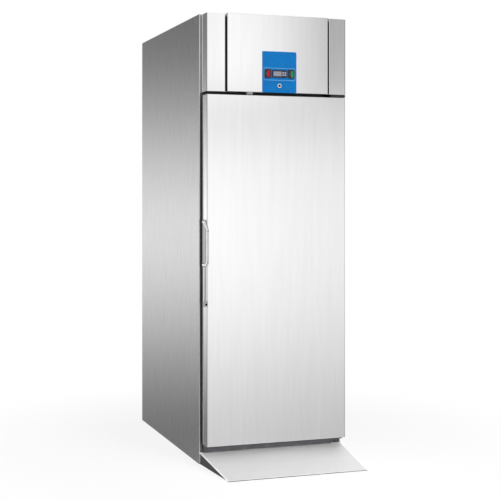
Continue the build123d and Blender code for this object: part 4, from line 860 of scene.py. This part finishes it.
@dataclass
class DoorHandle:
    """The bow handle, which stands for the CAD grip, and the screws of its base plate."""

    grip_thick: float = 10 * MM
    grip_wide: float = 18 * MM
    top_drop: float = 12 * MM
    stub: float = 6 * MM
    shoulder_drop: float = 48 * MM
    heel_rise: float = 16 * MM
    toe: float = 4 * MM
    bends: tuple[float, ...] = (22 * MM, 26 * MM, 14 * MM, 14 * MM)
    screw_radius: float = 3.6 * MM
    screw_proud: float = 1.2 * MM
    screw_rounding: float = 0.5 * MM
    screws_in: tuple[float, float] = (9 * MM, 14 * MM)

    def build(self) -> None:
        """Makes the bow from the plate's top to its foot, and the two pan-head screws."""
        low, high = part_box("handle_plate")
        grip_low, grip_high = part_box("handle_grip")
        x = (grip_low.x + grip_high.x) / 2
        front = grip_low.y + self.grip_wide / 2
        top = high.z - self.top_drop
        foot = grip_low.z + self.grip_wide / 2
        rear = grip_high.y
        route = [
            (x, rear, top),
            (x, low.y + self.stub, top),
            (x, front, high.z - self.shoulder_drop),
            (x, front, foot + self.heel_rise),
            (x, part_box("door_skin")[0].y - self.toe, foot),
            (x, rear, foot),
        ]
        grip = Workpiece("handle_bow")
        section = oblong_section(self.grip_thick, self.grip_wide)
        grip.sweep(section, route, self.bends, (1, 0, 0), 10)
        bow = grip.finish("door", CHROME, "chrome_wire", 50)
        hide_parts("handle_grip")
        screws = Workpiece("handle_screws")
        for inset, z in zip(self.screws_in, (top, grip_low.z)):
            screws.drum(
                (low.x, high.y - inset, z),
                (-1, 0, 0),
                self.screw_radius,
                self.screw_proud,
                20,
                bevel=self.screw_rounding,
            )
        screws.finish("door", DARK_STEEL, "dark_steel")


@dataclass
class ControlPlate:
    """What is printed on the blue control plate and let into it."""

    outline_half: tuple[float, float] = (82.5 * MM, 30.75 * MM)
    outline_corner: float = 6 * MM
    outline_drop: float = 1.75 * MM
    outline_gauge: float = 2.0 * MM
    print_lift: float = 0.08 * MM
    window_left: float = 5 * MM
    window_size: tuple[float, float] = (45 * MM, 25 * MM)
    window_sunk: float = 0.8 * MM
    window_gap: float = 0.1 * MM
    pane: tuple[float, float] = (0.4 * MM, 0.3 * MM)
    digit: tuple[float, float] = (9.0 * MM, 15.0 * MM)
    digit_start: float = 8.5 * MM
    digit_pitch: float = 13 * MM
    bar: float = 1.7 * MM
    bar_lift: float = 0.06 * MM
    key_ring: tuple[float, float] = (3.7 * MM, 2.6 * MM)
    key_sign: float = 1.2 * MM
    key_bar: float = 0.3 * MM
    key_dot: float = 0.9 * MM
    rocker_proud: float = 0.5 * MM
    rocker_ring: tuple[float, float] = (2.2 * MM, 1.7 * MM)

    def build(self) -> None:
        """Makes the printed outline, the display, the key signs and the rockers' caps."""
        self.printed_outline()
        self.display()
        for number in range(1, 5):
            self.key_print(number)
        for side, _ in SIDES:
            self.rocker_cap(side)

    def printed_outline(self) -> None:
        """Makes the pale printed line round the display and the rockers."""
        x = middle("control_plate")[0]
        z = middle("rocker_frames")[2] - self.outline_drop
        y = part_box("control_plate")[0].y - self.print_lift
        piece = Workpiece("printed_outline")
        edges = []
        for inset in (0.0, self.outline_gauge):
            corner = self.outline_corner - inset
            reach, rise = [half - inset - corner for half in self.outline_half]
            ring = [
                piece.mesh.verts.new(
                    (x + sx * reach + corner * math.cos(turn), y, z + sz * rise + corner * math.sin(turn))
                )
                for start, (sx, sz) in enumerate(((1, 1), (-1, 1), (-1, -1), (1, -1)))
                for turn in quarter(6, start)
            ]
            edges += [piece.mesh.edges.new(pair) for pair in zip(ring, ring[1:] + ring[:1])]
        band = bmesh.ops.bridge_loops(piece.mesh, edges=edges)["faces"]
        piece.pull(band, (0, 1.5 * self.print_lift, 0))
        piece.finish("service_panel", PALE_PRINT, "blue_film")

    def display(self) -> None:
        """Makes the display's window and the unlit bars of three digits in it."""
        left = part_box("controller")[0].x + self.window_left
        z = middle("controller")[2]
        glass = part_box("controller")[0].y + self.window_sunk
        width = self.window_size[0] - self.window_gap
        rise = self.window_size[1] / 2 - self.window_gap
        face = glass - self.pane[0]
        pane = Workpiece("display_window")
        pane.block((left + self.window_gap, face, z - rise), (left + width, glass + self.pane[1], z + rise))
        pane.finish("service_panel", DISPLAY_WINDOW)
        bars = Workpiece("display_bars")
        wide, tall = self.digit
        flat, upright = (wide * 0.66, self.bar), (self.bar, tall * 0.36)
        layout = [(0, bz, flat) for bz in (tall / 2, 0, -tall / 2)]
        layout += [(bx, bz, upright) for bz in (tall / 4, -tall / 4) for bx in (-wide / 2, wide / 2)]
        for place in range(3):
            x = left + self.digit_start + place * self.digit_pitch
            for bx, bz, (across, up) in layout:
                bars.block(
                    (x + bx - across / 2, face - self.bar_lift, z + bz - up / 2),
                    (x + bx + across / 2, face + self.bar_lift, z + bz + up / 2),
                )
        bars.finish("service_panel", DISPLAY_BARS)

    def key_print(self, number: int) -> None:
        """Prints a ring and a plain sign on a key: an up arrow, a bar, a down arrow or a dot.

        Args:
            number: The key's number, from 1 to 4.
        """
        x, _, z = middle(f"controller_key_{number}")
        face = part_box(f"controller_key_{number}")[0].y
        half = self.print_lift / 2
        base, front = face + half, face - half
        size = self.key_sign
        sign = Workpiece(f"key_sign_{number}")
        sign.ring((x, face, z), self.key_ring, -half, half, 28)
        if number == 2:
            sign.block((x - size, front, z - self.key_bar), (x + size, base, z + self.key_bar))
        elif number == 4:
            sign.drum((x, base, z), (0, -1, 0), self.key_dot, self.print_lift, 16)
        else:
            up = size if number == 1 else -size
            foot = z - up * 0.6
            outline = [(x - size, base, foot), (x + size, base, foot), (x, base, z + up)]
            sign.slab(outline, (0, -self.print_lift, 0))
        sign.finish(f"key_{number}", WHITE_INK)

    def rocker_cap(self, side: str) -> None:
        """Puts the dark half and the ring sign on one rocker.

        Args:
            side: The rocker's place on the plate.
        """
        node = f"rocker_{side}"
        low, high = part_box(node)
        x, _, z = middle(node)
        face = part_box("rocker_frames")[0].y + self.rocker_proud
        dark = Workpiece(f"rocker_dark_{side}")
        dark.block(
            (low.x + 0.3 * MM, face - 0.25 * MM, low.z + 0.4 * MM),
            (x - 0.6 * MM, face + 0.1 * MM, high.z - 0.4 * MM),
            0.1 * MM,
        )
        dark.finish(node, DARK_PLASTIC, "dark_plastic")
        sign = Workpiece(f"rocker_sign_{side}")
        sign.ring(((low.x + x) / 2, face, z), self.rocker_ring, -0.32 * MM, -0.2 * MM, 24)
        sign.finish(node, WHITE_INK)


@dataclass
class CondensingUnit:
    """The compressor, coil and lines on the machine deck, round where the CAD ones are plain."""

    deck_lip: float = 18 * MM
    mount_rise: float = 15 * MM
    foot_gauge: float = 3 * MM
    shell_radius: float = 95 * MM
    shell_inset: float = 6 * MM
    shell_foot: float = 20 * MM
    shell_dome: float = 55 * MM
    seam: float = 95 * MM
    cover_half: float = 32 * MM
    cover_span: tuple[float, float] = (90 * MM, 165 * MM)
    fin_pitch: float = 5 * MM
    fin_gauge: float = 0.5 * MM
    end_plate: float = 2 * MM
    coil_foot: float = 4 * MM
    tube_rows: int = 6
    tube_radius: float = 4.5 * MM
    tube_apart: float = 22 * MM
    tube_reach: float = 15.5 * MM
    thin_pipe: float = 5 * MM
    thick_pipe: float = 8 * MM
    pipe_rear: float = 8 * MM
    liquid_x: float = -60 * MM
    suction_x: float = 20 * MM
    suction_rise: float = 88 * MM
    drier_span: tuple[float, float] = (-180 * MM, -60 * MM)
    drier_radius: float = 20 * MM
    drier_cone: float = 14 * MM

    def build(self) -> None:
        """Makes the shell, the finned coil and the pipework."""
        self.compressor()
        self.coil()
        self.lines()

    def deck(self) -> float:
        """Returns the height of the deck's sheet, below its raised edge."""
        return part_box("machine_deck")[1].z - self.deck_lip

    def tube_height(self, row: float) -> float:
        """Works out how high the coil's tubes are.

        Args:
            row: The row, counted from the bottom, or a place between two.

        Returns:
            The height.
        """
        low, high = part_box("condenser_coil")
        start = low.z + self.coil_foot
        return start + row * (high.z - start) / self.tube_rows

    def compressor(self) -> None:
        """Turns the welded shell with its seam band, foot plate and terminal cover."""
        low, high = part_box("compressor")
        mounts_low, mounts_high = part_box("compressor_mounts")
        cx, cy, _ = middle("compressor_mounts")
        plate = self.deck() + self.mount_rise
        base = plate + self.foot_gauge
        radius, foot = self.shell_radius, self.shell_foot
        shell = radius - self.shell_inset
        shoulder = high.z - self.shell_dome
        line = [(0, base)]
        for turn in quarter(5):
            line.append((shell - foot + foot * math.sin(turn), base + foot - foot * math.cos(turn)))
        band = ((shell, -3), (radius - MM, 0), (radius, 3), (radius, 11), (radius - MM, 14), (shell, 17))
        line += [(reach, base + self.seam + rise * MM) for reach, rise in band]
        for turn in quarter(10):
            line.append((shell * math.cos(turn), shoulder + self.shell_dome * math.sin(turn)))
        piece = Workpiece("compressor_shell")
        piece.lathe([(cx + reach, cy, z) for reach, z in line], (cx, cy, 0), (0, 0, 1), 48)
        piece.block(
            (low.x, mounts_low.y - self.foot_gauge, plate),
            (high.x, mounts_high.y + self.foot_gauge, base),
            12 * MM,
            5,
            (0, 0, 1),
        )
        shell_piece = piece.finish("cabinet", BLACK_PAINT, "black_paint", 40)
        bottom, top = self.cover_span
        cover = Workpiece("compressor_terminal_cover")
        cover.block(
            (cx - self.cover_half, low.y, base + bottom),
            (cx + self.cover_half, cy - radius * 0.6, base + top),
            4 * MM,
            3,
        )
        cover.finish("cabinet", DARK_PLASTIC, "dark_plastic")
        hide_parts("compressor")

    def coil(self) -> None:
        """Makes the condenser: close fins, end plates, and tubes with round return bends."""
        low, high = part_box("condenser_coil")
        shroud_low, shroud_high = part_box("fan_shroud")
        left, right = shroud_low.x, shroud_high.x
        fins = Workpiece("condenser_fins")
        count = int((right - left) / self.fin_pitch)
        for i in range(1, count):
            x = left + i * (right - left) / count
            fins.block(
                (x - self.fin_gauge / 2, low.y + MM, low.z + self.coil_foot),
                (x + self.fin_gauge / 2, high.y - MM, high.z - MM),
            )
        coil = fins.finish("cabinet", FIN_STOCK, "aluminium_fins")
        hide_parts("condenser_coil")
        plates = Workpiece("condenser_end_plates")
        tubes = Workpiece("condenser_tubes")
        section = round_section(self.tube_radius, 12)
        depth = middle("condenser_coil")[1]
        near, far = depth - self.tube_apart, depth + self.tube_apart
        for s, end in ((-1, left), (1, right)):
            x = end + s * self.end_plate
            plates.block((end, low.y, low.z), (x, high.y, high.z), 0.6 * MM, 1)
            out = x + s * self.tube_reach
            for row in range(self.tube_rows):
                z = self.tube_height(row + 0.25)
                route = [(x, near, z), (out, near, z), (out, far, z), (x, far, z)]
                tubes.sweep(section, route, [14 * MM, 14 * MM], (0, 0, 1), 6)
        plates.finish("cabinet", GALVANISED, "galvanised")
        for row in range(2 * self.tube_rows):
            z = self.tube_height(row / 2 + 0.25)
            for y in (near, far):
                tubes.drum((left, y, z), (1, 0, 0), self.tube_radius, right - left, 10)
        tubes.finish("cabinet", COPPER, "copper")

    def lines(self) -> None:
        """Makes the discharge, liquid and suction lines and the drier, all round."""
        cx, cy, _ = middle("compressor_mounts")
        shell_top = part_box("compressor")[1].z - 2 * MM
        shell_side = cx + self.shell_radius - self.shell_inset - 2 * MM
        coil_y = middle("condenser_coil")[1]
        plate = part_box("fan_shroud")[0].x - self.end_plate
        inlet, outlet = self.tube_height(self.tube_rows - 0.25), self.tube_height(0.75)
        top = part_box("evaporator_coil")[1].z
        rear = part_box("refrigerant_lines")[1].y - self.pipe_rear
        suction = self.deck() + self.suction_rise
        liquid_x, suction_x = self.liquid_x, self.suction_x
        front, back = self.drier_span
        discharge = [(cx, cy, shell_top), (cx, cy, inlet), (cx, coil_y, inlet), (plate, coil_y, inlet)]
        to_drier = [(plate, coil_y, outlet), (liquid_x, coil_y, outlet), (liquid_x, front, outlet)]
        from_drier = [(liquid_x, back, outlet), (liquid_x, rear, outlet), (liquid_x, rear, top)]
        suction_line = [
            (suction_x, rear, top),
            (suction_x, rear, suction),
            (suction_x, cy, suction),
            (shell_side, cy, suction),
        ]
        piece = Workpiece("pipework")
        thin, thick = round_section(self.thin_pipe, 14), round_section(self.thick_pipe, 16)
        for section, route, bend, side in (
            (thin, discharge, 18 * MM, (1, 0, 0)),
            (thin, to_drier, 14 * MM, (0, 0, 1)),
            (thin, from_drier, 30 * MM, (1, 0, 0)),
            (thick, suction_line, 40 * MM, (1, 0, 0)),
        ):
            piece.sweep(section, route, [bend] * (len(route) - 2), side)
        radius, cone = self.drier_radius, self.drier_cone
        for start, way in ((front, 1), (back, -1)):
            piece.drum((liquid_x, start, outlet), (0, way, 0), 7 * MM, cone, 24, radius)
        piece.drum((liquid_x, front + cone, outlet), (0, 1, 0), radius, back - front - 2 * cone)
        pipes = piece.finish("cabinet", COPPER, "copper", 40)
        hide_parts("refrigerant_lines")


@dataclass
class RampPaintedLight:
    """The ramp's painted light: pale strips painted as highlights on its rims, dark sheets painted as the
    shade on its cheeks, and a dark strip painted as the shade on its front lip.
    """

    plate_gauge: float = 3 * MM
    taper: float = 25 * MM
    rim_width: float = 5 * MM
    rim_proud: float = 0.6 * MM
    rim_set_back: float = 0.2 * MM
    cheek_inset: float = 6 * MM
    cheek_gauge: float = 0.8 * MM
    cheek_share: float = 0.985
    lip_proud: float = 0.05 * MM
    lip_gauge: float = 0.3 * MM

    def build(self) -> None:
        """Makes the painted highlights along three edges, the painted shade on both cheeks and the painted
        shade on the lip.
        """
        low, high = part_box("ramp")
        rear_x, front_x = high.x, high.x - self.taper
        top, foot, wide = high.z, self.plate_gauge, self.rim_width
        slope = Vector((0, low.y - high.y, foot - top)).normalized()
        lift = slope.cross(Vector((1, 0, 0))) * self.rim_proud
        edge = Vector((0, low.y, foot)) - slope * self.rim_set_back
        # Pale strips along both sides and the front of the ramp's top: painted highlight
        rims = Workpiece("ramp_painted_highlight_rims")
        for _, s in SIDES:
            outer, inner = [Vector((s * (front_x - inset), 0, 0)) + edge for inset in (0, wide)]
            rims.slab([(s * rear_x, high.y, top), outer, inner, (s * (rear_x - wide), high.y, top)], lift)
        half = Vector((front_x - wide, 0, 0))
        back = edge - slope * wide
        rims.slab([edge - half, edge + half, back + half, back - half], lift)
        rims.finish("cabinet", RAMP_PAINTED_HIGHLIGHT, "stainless_satin")
        # Dark sheets on both cheeks: painted shade
        cheeks = Workpiece("ramp_cheeks_painted_shade")
        for _, s in SIDES:
            rear = Vector((s * (rear_x - self.cheek_inset), high.y, 0))
            along = Vector((-s * self.taper, low.y - high.y, 0)) * self.cheek_share
            outline = [rear, rear + along, rear + Vector((0, 0, top - foot))]
            cheeks.slab(outline, Vector((s * self.cheek_gauge, 0, 0)))
        cheeks.finish("cabinet", RAMP_CHEEK_PAINTED_SHADE, "dark_steel")
        # Thin black strip on the ramp's front edge: painted shade under the edge
        lip = Workpiece("ramp_lip_painted_shade")
        lip.block(
            (-front_x, low.y - self.lip_proud, 0.05 * MM),
            (front_x, low.y + self.lip_gauge, foot + self.lip_gauge),
        )
        lip.finish("cabinet", BLACK_RUBBER, "black_rubber")


@dataclass
class PaintedShadeStrips:
    """Dark strips and a block put where shade falls, as painted shade: in the cabinet's grooves, along its
    flanges and in the top hinge's slot.
    """

    lip: float = 0.8 * MM
    lip_from: float = 5 * MM
    lip_to: float = 11.5 * MM
    lip_top: float = 1845 * MM
    groove: float = 9 * MM
    clearance: float = 1 * MM
    set_back: float = 7 * MM
    thick: float = 12 * MM
    foot_room: float = 2 * MM
    pivot_room: float = 15 * MM
    bead: float = 2.5 * MM
    cover_back: float = 5 * MM
    cover_gap: float = 2 * MM

    def build(self) -> None:
        """Makes the painted shade on the flanges, in the grooves with strips behind the fascia corners, and
        in the hinge's slot.
        """
        for side, s in SIDES:
            self.paint_flange_shade(side, s)
        for side, s in SIDES:
            self.paint_groove_shade(side, s)
        self.hinge_slot_painted_shade()

    def paint_flange_shade(self, side: str, s: int) -> None:
        """Makes a grey strip along a front flange, painted shade where the flange lies in shade.

        Args:
            side: The side's name.
            s: The side's sign along x.
        """
        low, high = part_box(f"side_panel_{side}")
        edge = low.x if s < 0 else high.x
        # Grey strip on the flange's inner edge: painted shade
        lip = Workpiece(f"flange_painted_shade_{side}")
        lip.block(
            (edge - s * self.lip_from, low.y - self.lip, MM),
            (edge - s * self.lip_to, low.y, self.lip_top),
            0.3 * MM,
        )
        lip.finish("cabinet", GREY_RUBBER, "grey_rubber")

    def paint_groove_shade(self, side: str, s: int) -> None:
        """Makes a black strip in a groove and a grey strip behind its fascia corner, both painted shade.

        Args:
            side: The side's name.
            s: The side's sign along x.
        """
        low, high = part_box(f"fascia_corner_{side}")
        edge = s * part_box("service_panel")[1].x
        front = low.y + self.set_back
        # Black strip filling the groove: painted shade of the groove
        strip = Workpiece(f"groove_painted_shade_{side}")
        strip.block(
            (edge + s * self.clearance, front, low.z + self.foot_room),
            (edge + s * self.groove, front + self.thick, high.z - self.pivot_room),
            0.8 * MM,
        )
        strip.finish("cabinet", BLACK_RUBBER, "black_rubber")
        outer = low.x if s < 0 else high.x
        # Grey strip at the rear of the fascia corner's side: painted shade of the gap behind it
        bead = Workpiece(f"corner_painted_shade_{side}")
        bead.block(
            (outer, high.y - self.bead, low.z), (outer + s * self.bead, high.y, high.z), 0.6 * MM
        )
        bead.finish("cabinet", GREY_RUBBER, "grey_rubber")

    def hinge_slot_painted_shade(self) -> None:
        """Makes a dark block in the slot over the top hinge, painted shade for the slot."""
        bracket_low, bracket_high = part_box("hinge_bracket_top")
        door_low, door_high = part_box("door_skin")
        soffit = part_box("fascia_corner_right")[0].z
        # Dark block in the hinge's slot: painted shade
        cover = Workpiece("hinge_slot_painted_shade")
        cover.block(
            (bracket_low.x, door_low.y + self.cover_back, door_high.z + self.cover_gap),
            (door_high.x + 2 * MM, bracket_high.y - 7 * MM, soffit - 0.5 * MM),
            1.5 * MM,
        )
        cover.finish("cabinet", DARK_PLASTIC, "dark_plastic")


@dataclass
class CeilingLamp:
    """The chamber's lamp: a ribbed lens let into its white housing."""

    margin: float = 8 * MM
    end_margin: float = 14 * MM
    ribs: int = 24
    rib_half: float = 0.8 * MM

    def build(self) -> None:
        """Makes the lens and its cross ribs."""
        low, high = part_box("ceiling_lamp")
        start, end = low.x + self.margin, high.x - self.margin
        lens = Workpiece("lamp_lens")
        lens.block(
            (start, low.y + self.end_margin, low.z - 0.2 * MM),
            (end, high.y - self.end_margin, low.z + 2 * MM),
            0.8 * MM,
        )
        rib_end = self.end_margin + 2 * MM
        for i in range(1, self.ribs):
            x = start + i * (end - start) / self.ribs
            lens.block(
                (x - self.rib_half, low.y + rib_end, low.z - 0.8 * MM),
                (x + self.rib_half, high.y - rib_end, low.z + 0.4 * MM),
            )
        lens.finish("cabinet", LAMP_LENS, "white_plastic")


@dataclass
class Fasteners:
    """Countersunk screws of the hinge brackets."""

    head: float = 5.5 * MM
    proud: float = 1.8 * MM
    rounding: float = 0.6 * MM
    inset: float = 9 * MM
    leg: float = 6 * MM

    def build(self) -> None:
        """Adds two screws to each hinge's leg."""
        piece = Workpiece("hinge_screws")
        for node in ("hinge_bracket_top", "hinge_bracket_bottom"):
            low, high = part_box(node)
            for x in (low.x + self.inset, high.x - self.inset):
                place = (x, high.y - self.leg, (low.z + high.z) / 2)
                piece.drum(place, (0, -1, 0), self.head, self.proud, 24, bevel=self.rounding)
        piece.finish("cabinet", ZINC_PLATE, "zinc_steel")


# Studio


@dataclass(frozen=True)
class Lamp:
    """A soft round lamp, which lights but isn't mirrored."""

    name: str
    place: Point
    aim: Point
    size: float
    power: float
    spread: float = 180.0

    def hang(self) -> None:
        """Hangs the lamp in the studio and points it at its aim."""
        data = bpy.data.lights.new(self.name, "AREA")
        data.shape = "DISK"
        data.size = self.size
        data.energy = self.power
        data.spread = math.radians(self.spread)
        lamp = place_object(self.name, data)
        lamp.location = self.place
        way = Vector(self.aim) - Vector(self.place)
        lamp.rotation_euler = way.to_track_quat("-Z", "Y").to_euler()
        lamp.visible_glossy = False


@dataclass(frozen=True)
class TentLevels:
    """How bright the light tent is, as stops of place and level along a way from its middle."""

    # By height, behind the front's turning, for the cabinet's sides
    side: Stops = (
        (-1, 0.2), (-0.92, 0.25), (-0.85, 0.6), (-0.34, 0.66), (-0.28, 0.5), (-0.24, 0.28),
        (-0.2, 0.26), (-0.134, 0.63), (-0.091, 0.95), (-0.04, 1.2), (0, 1.1), (0.037, 0.85),
        (0.063, 0.64), (0.113, 0.33), (0.18, 0.2), (0.21, 0.24), (0.3, 0.7), (0.5, 1.1),
        (0.85, 1.2), (0.93, 0.5), (1, 0.4),
    )
    # By height, ahead of it, for the door and the fascia
    front: Stops = (
        (-1, 0.2), (-0.92, 0.3), (-0.8, 0.92), (-0.62, 0.9), (-0.5, 0.88), (-0.3, 0.88),
        (-0.24, 0.68), (-0.2, 0.72), (-0.134, 0.97), (-0.05, 1.15), (0, 1.14), (0.037, 1.08),
        (0.075, 0.86), (0.1, 1.08), (0.15, 1.05), (0.4, 0.8), (0.55, 0.9), (0.65, 1.3),
        (0.82, 1.4), (0.93, 0.3), (1, 0.2),
    )
    # From left to right, ahead and below the crossing, for the door
    low_across: Stops = (
        (-1, 0.6), (-0.76, 0.6), (-0.7, 0.95), (-0.66, 1.25), (-0.6, 0.95), (-0.2, 0.92),
        (-0.08, 0.86), (0.1, 0.86), (0.2, 1.0), (0.27, 1.09), (0.4, 0.86), (0.6, 0.9),
        (0.72, 0.9), (0.8, 0.65), (1, 0.6),
    )
    # From left to right, ahead and above the crossing, for the fascia
    high_across: Stops = (
        (-1, 0.6), (-0.76, 0.6), (-0.7, 0.95), (-0.66, 1.25), (-0.6, 0.95), (-0.2, 0.92),
        (-0.08, 0.9), (0.05, 0.9), (0.13, 1.0), (0.17, 1.09), (0.3, 1.18), (0.335, 1.08),
        (0.36, 0.84), (0.385, 0.4), (0.42, 0.38), (0.5, 0.44), (0.6, 0.65), (0.68, 0.6),
        (0.76, 0.3), (1, 0.3),
    )
    # From left to right, all round
    flank: Stops = ((-1, 0.6), (-0.8, 0.6), (-0.7, 1), (0.82, 1), (0.88, 0.55), (1, 0.55))
    # Heights between which low_across gives way to high_across
    crossing: tuple[float, float] = (0.089, 0.096)
    # Depths between which the front gives way to the sides
    turning: tuple[float, float] = (-0.35, 0.35)


@dataclass
class Studio:
    """Plain pale floor, soft light and the camera at the photograph's angle."""

    camera_at: tuple[float, float, float] = (-2.01635, -6.16617, 1.34559)
    camera_turn: float = -18.877
    lens: float = 84.05
    shift_y: float = -0.1136
    floor_at: tuple[float, float, float] = (0, -0.2, -0.5 * MM)
    floor_radius: float = 3.2
    floor_white_near: float = 0.8
    floor_white_span: tuple[float, float] = (0.6, 1.9)
    fill: float = 0.66
    tent_radius: float = 90.0
    horizon_height: float = 1.2
    levels: TentLevels = TentLevels()
    lamps: tuple[Lamp, ...] = (
        Lamp("key_lamp", (2.6, -2.8, 4.2), (0, 0, 0.9), 3.5, 42),
        Lamp("fill_lamp", (-3.2, -3.0, 3.0), (0, -0.4, 1.2), 3.0, 20),
        # Gridded, so that it lights the ramp and leaves the control plate
        Lamp("low_lamp", (0.8, -3.3, 0.5), (0, -0.68, 0.06), 1.4, 13, 44),
    )

    def build(self) -> None:
        """Makes the world, the floor, the tent, the lamps and the camera."""
        self.world()
        self.floor()
        self.tent()
        for lamp in self.lamps:
            lamp.hang()
        self.camera()
        bpy.context.scene.view_settings.view_transform = "Standard"

    def seen(self, tree: Tree) -> Node:
        """Adds a value of one for rays that look straight, in gloss or through glass.

        Args:
            tree: The node tree.

        Returns:
            The node that gives the value.
        """
        path = add_node(tree, "ShaderNodeLightPath").outputs
        total = path["Is Camera Ray"]
        for name in ("Is Glossy Ray", "Is Transmission Ray"):
            total = add_node(tree, "ShaderNodeMath", {0: total, 1: path[name]}, operation="MAXIMUM")
        return total

    def world(self) -> None:
        """Makes a white background over a plain soft fill."""
        world = bpy.data.worlds.new("studio")
        bpy.context.scene.world = world
        tree = empty_tree(world)
        level = add_node(tree, "ShaderNodeMapRange", {0: self.seen(tree), 3: self.fill, 4: 1.0})
        white = {"Color": (1, 1, 1, 1), "Strength": level}
        back = add_node(tree, "ShaderNodeBackground", white)
        add_node(tree, "ShaderNodeOutputWorld", {"Surface": back})

    def floor(self) -> None:
        """Makes a pale floor that runs out into the white background."""
        mesh = bmesh.new()
        matrix = Matrix.Translation(self.floor_at)
        bmesh.ops.create_circle(
            mesh, cap_ends=True, segments=96, radius=self.floor_radius, matrix=matrix
        )
        floor = place_mesh("floor", mesh)
        made = bpy.data.materials.new("pale_studio_floor")
        tree = empty_tree(made)
        spot = add_node(tree, "ShaderNodeTexCoord").outputs["Object"]
        flat = add_node(tree, "ShaderNodeVectorMath", {0: spot, 1: (1, 1, 0)}, operation="MULTIPLY")
        reach = add_node(tree, "ShaderNodeVectorMath", {0: flat}, operation="LENGTH")
        near, far = self.floor_white_span
        span = {0: reach.outputs["Value"], 1: near, 2: far, 3: self.floor_white_near}
        fade = add_node(tree, "ShaderNodeMapRange", span, interpolation_type="SMOOTHSTEP")
        share = add_node(tree, "ShaderNodeMath", {0: fade, 1: self.seen(tree)}, operation="MULTIPLY")
        matt = add_node(tree, "ShaderNodeBsdfDiffuse", {"Color": srgb("#F6F6F6")})
        white = add_node(tree, "ShaderNodeEmission", {"Color": (1, 1, 1, 1)})
        mix = add_node(tree, "ShaderNodeMixShader", {0: share, 1: matt, 2: white})
        add_node(tree, "ShaderNodeOutputMaterial", {"Surface": mix})
        floor.data.materials.append(made)
        floor.visible_glossy = False

    def curve(self, tree: Tree, value: Socket, stops: Stops, blend: str = "LINEAR") -> Node:
        """Adds a curve of brightness, which its ramp holds halved because a ramp ends at one.

        Args:
            tree: The node tree.
            value: Where along the curve to read.
            stops: Places with their levels, in order.
            blend: How the ramp goes from stop to stop.

        Returns:
            The node that gives the brightness.
        """
        low, high = stops[0][0], stops[-1][0]
        spread = add_node(tree, "ShaderNodeMapRange", {0: value, 1: low, 2: high})
        made = add_node(tree, "ShaderNodeValToRGB", {0: spread})
        ramp = made.color_ramp
        ramp.interpolation = blend
        for place, _ in stops[1:-1]:
            ramp.elements.new((place - low) / (high - low))
        for stop, (_, level) in zip(ramp.elements, stops):
            stop.color = (level / 2, level / 2, level / 2, 1)
        return add_node(tree, "ShaderNodeMath", {0: made, 1: 2.0}, operation="MULTIPLY")

    def tent(self) -> None:
        """Hangs the graded light tent that only polished and brushed metal mirrors."""
        mesh = bmesh.new()
        bmesh.ops.create_uvsphere(mesh, u_segments=48, v_segments=24, radius=self.tent_radius)
        tent = place_mesh("light_tent", mesh)
        made = bpy.data.materials.new("light_tent_cloth")
        tree = empty_tree(made)
        levels = self.levels
        spot = add_node(tree, "ShaderNodeTexCoord").outputs["Object"]
        ends = {0: spot, 1: (0, 0, self.horizon_height)}
        way = add_node(tree, "ShaderNodeVectorMath", ends, operation="SUBTRACT")
        unit = add_node(tree, "ShaderNodeVectorMath", {0: way}, operation="NORMALIZE")
        x, y, z = add_node(tree, "ShaderNodeSeparateXYZ", {0: unit}).outputs
        above, behind = [
            add_node(
                tree, "ShaderNodeMapRange", {0: value, 1: low, 2: high}, interpolation_type="SMOOTHSTEP"
            )
            for value, (low, high) in ((z, levels.crossing), (y, levels.turning))
        ]
        side = self.curve(tree, z, levels.side, "CARDINAL")
        front = self.curve(tree, z, levels.front, "CARDINAL")
        low_across = self.curve(tree, x, levels.low_across)
        high_across = self.curve(tree, x, levels.high_across)
        flank = self.curve(tree, x, levels.flank)
        heights = {0: above, 2: low_across, 3: high_across}
        across = add_node(tree, "ShaderNodeMix", heights, data_type="FLOAT")
        ahead = add_node(tree, "ShaderNodeMath", {0: front, 1: across}, operation="MULTIPLY")
        depths = {0: behind, 2: ahead, 3: side}
        level = add_node(tree, "ShaderNodeMix", depths, data_type="FLOAT")
        total = add_node(tree, "ShaderNodeMath", {0: level, 1: flank}, operation="MULTIPLY")
        glow = add_node(tree, "ShaderNodeEmission", {"Color": (1, 1, 1, 1), "Strength": total})
        add_node(tree, "ShaderNodeOutputMaterial", {"Surface": glow})
        tent.data.materials.append(made)
        tent.visible_camera = False
        tent.visible_diffuse = False
        tent.visible_shadow = False
        tent.visible_transmission = False

    def camera(self) -> None:
        """Sets the camera to the photograph's place, lens and shift."""
        data = bpy.data.cameras.new("camera")
        data.lens = self.lens
        data.shift_y = self.shift_y
        data.dof.use_dof = False
        camera = place_object("camera", data)
        camera.location = self.camera_at
        camera.rotation_euler = (QUARTER, 0, math.radians(self.camera_turn))
        bpy.context.scene.camera = camera


def main() -> None:
    """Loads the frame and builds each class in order."""
    logging.basicConfig(level=logging.INFO, format="%(name)s: %(message)s")
    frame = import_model()
    Enclosure(frame).build()
    DoorHandle().build()
    ControlPlate().build()
    CondensingUnit().build()
    RampPaintedLight().build()
    PaintedShadeStrips().build()
    CeilingLamp().build()
    Fasteners().build()
    Studio().build()


if __name__ == "__main__":
    main()
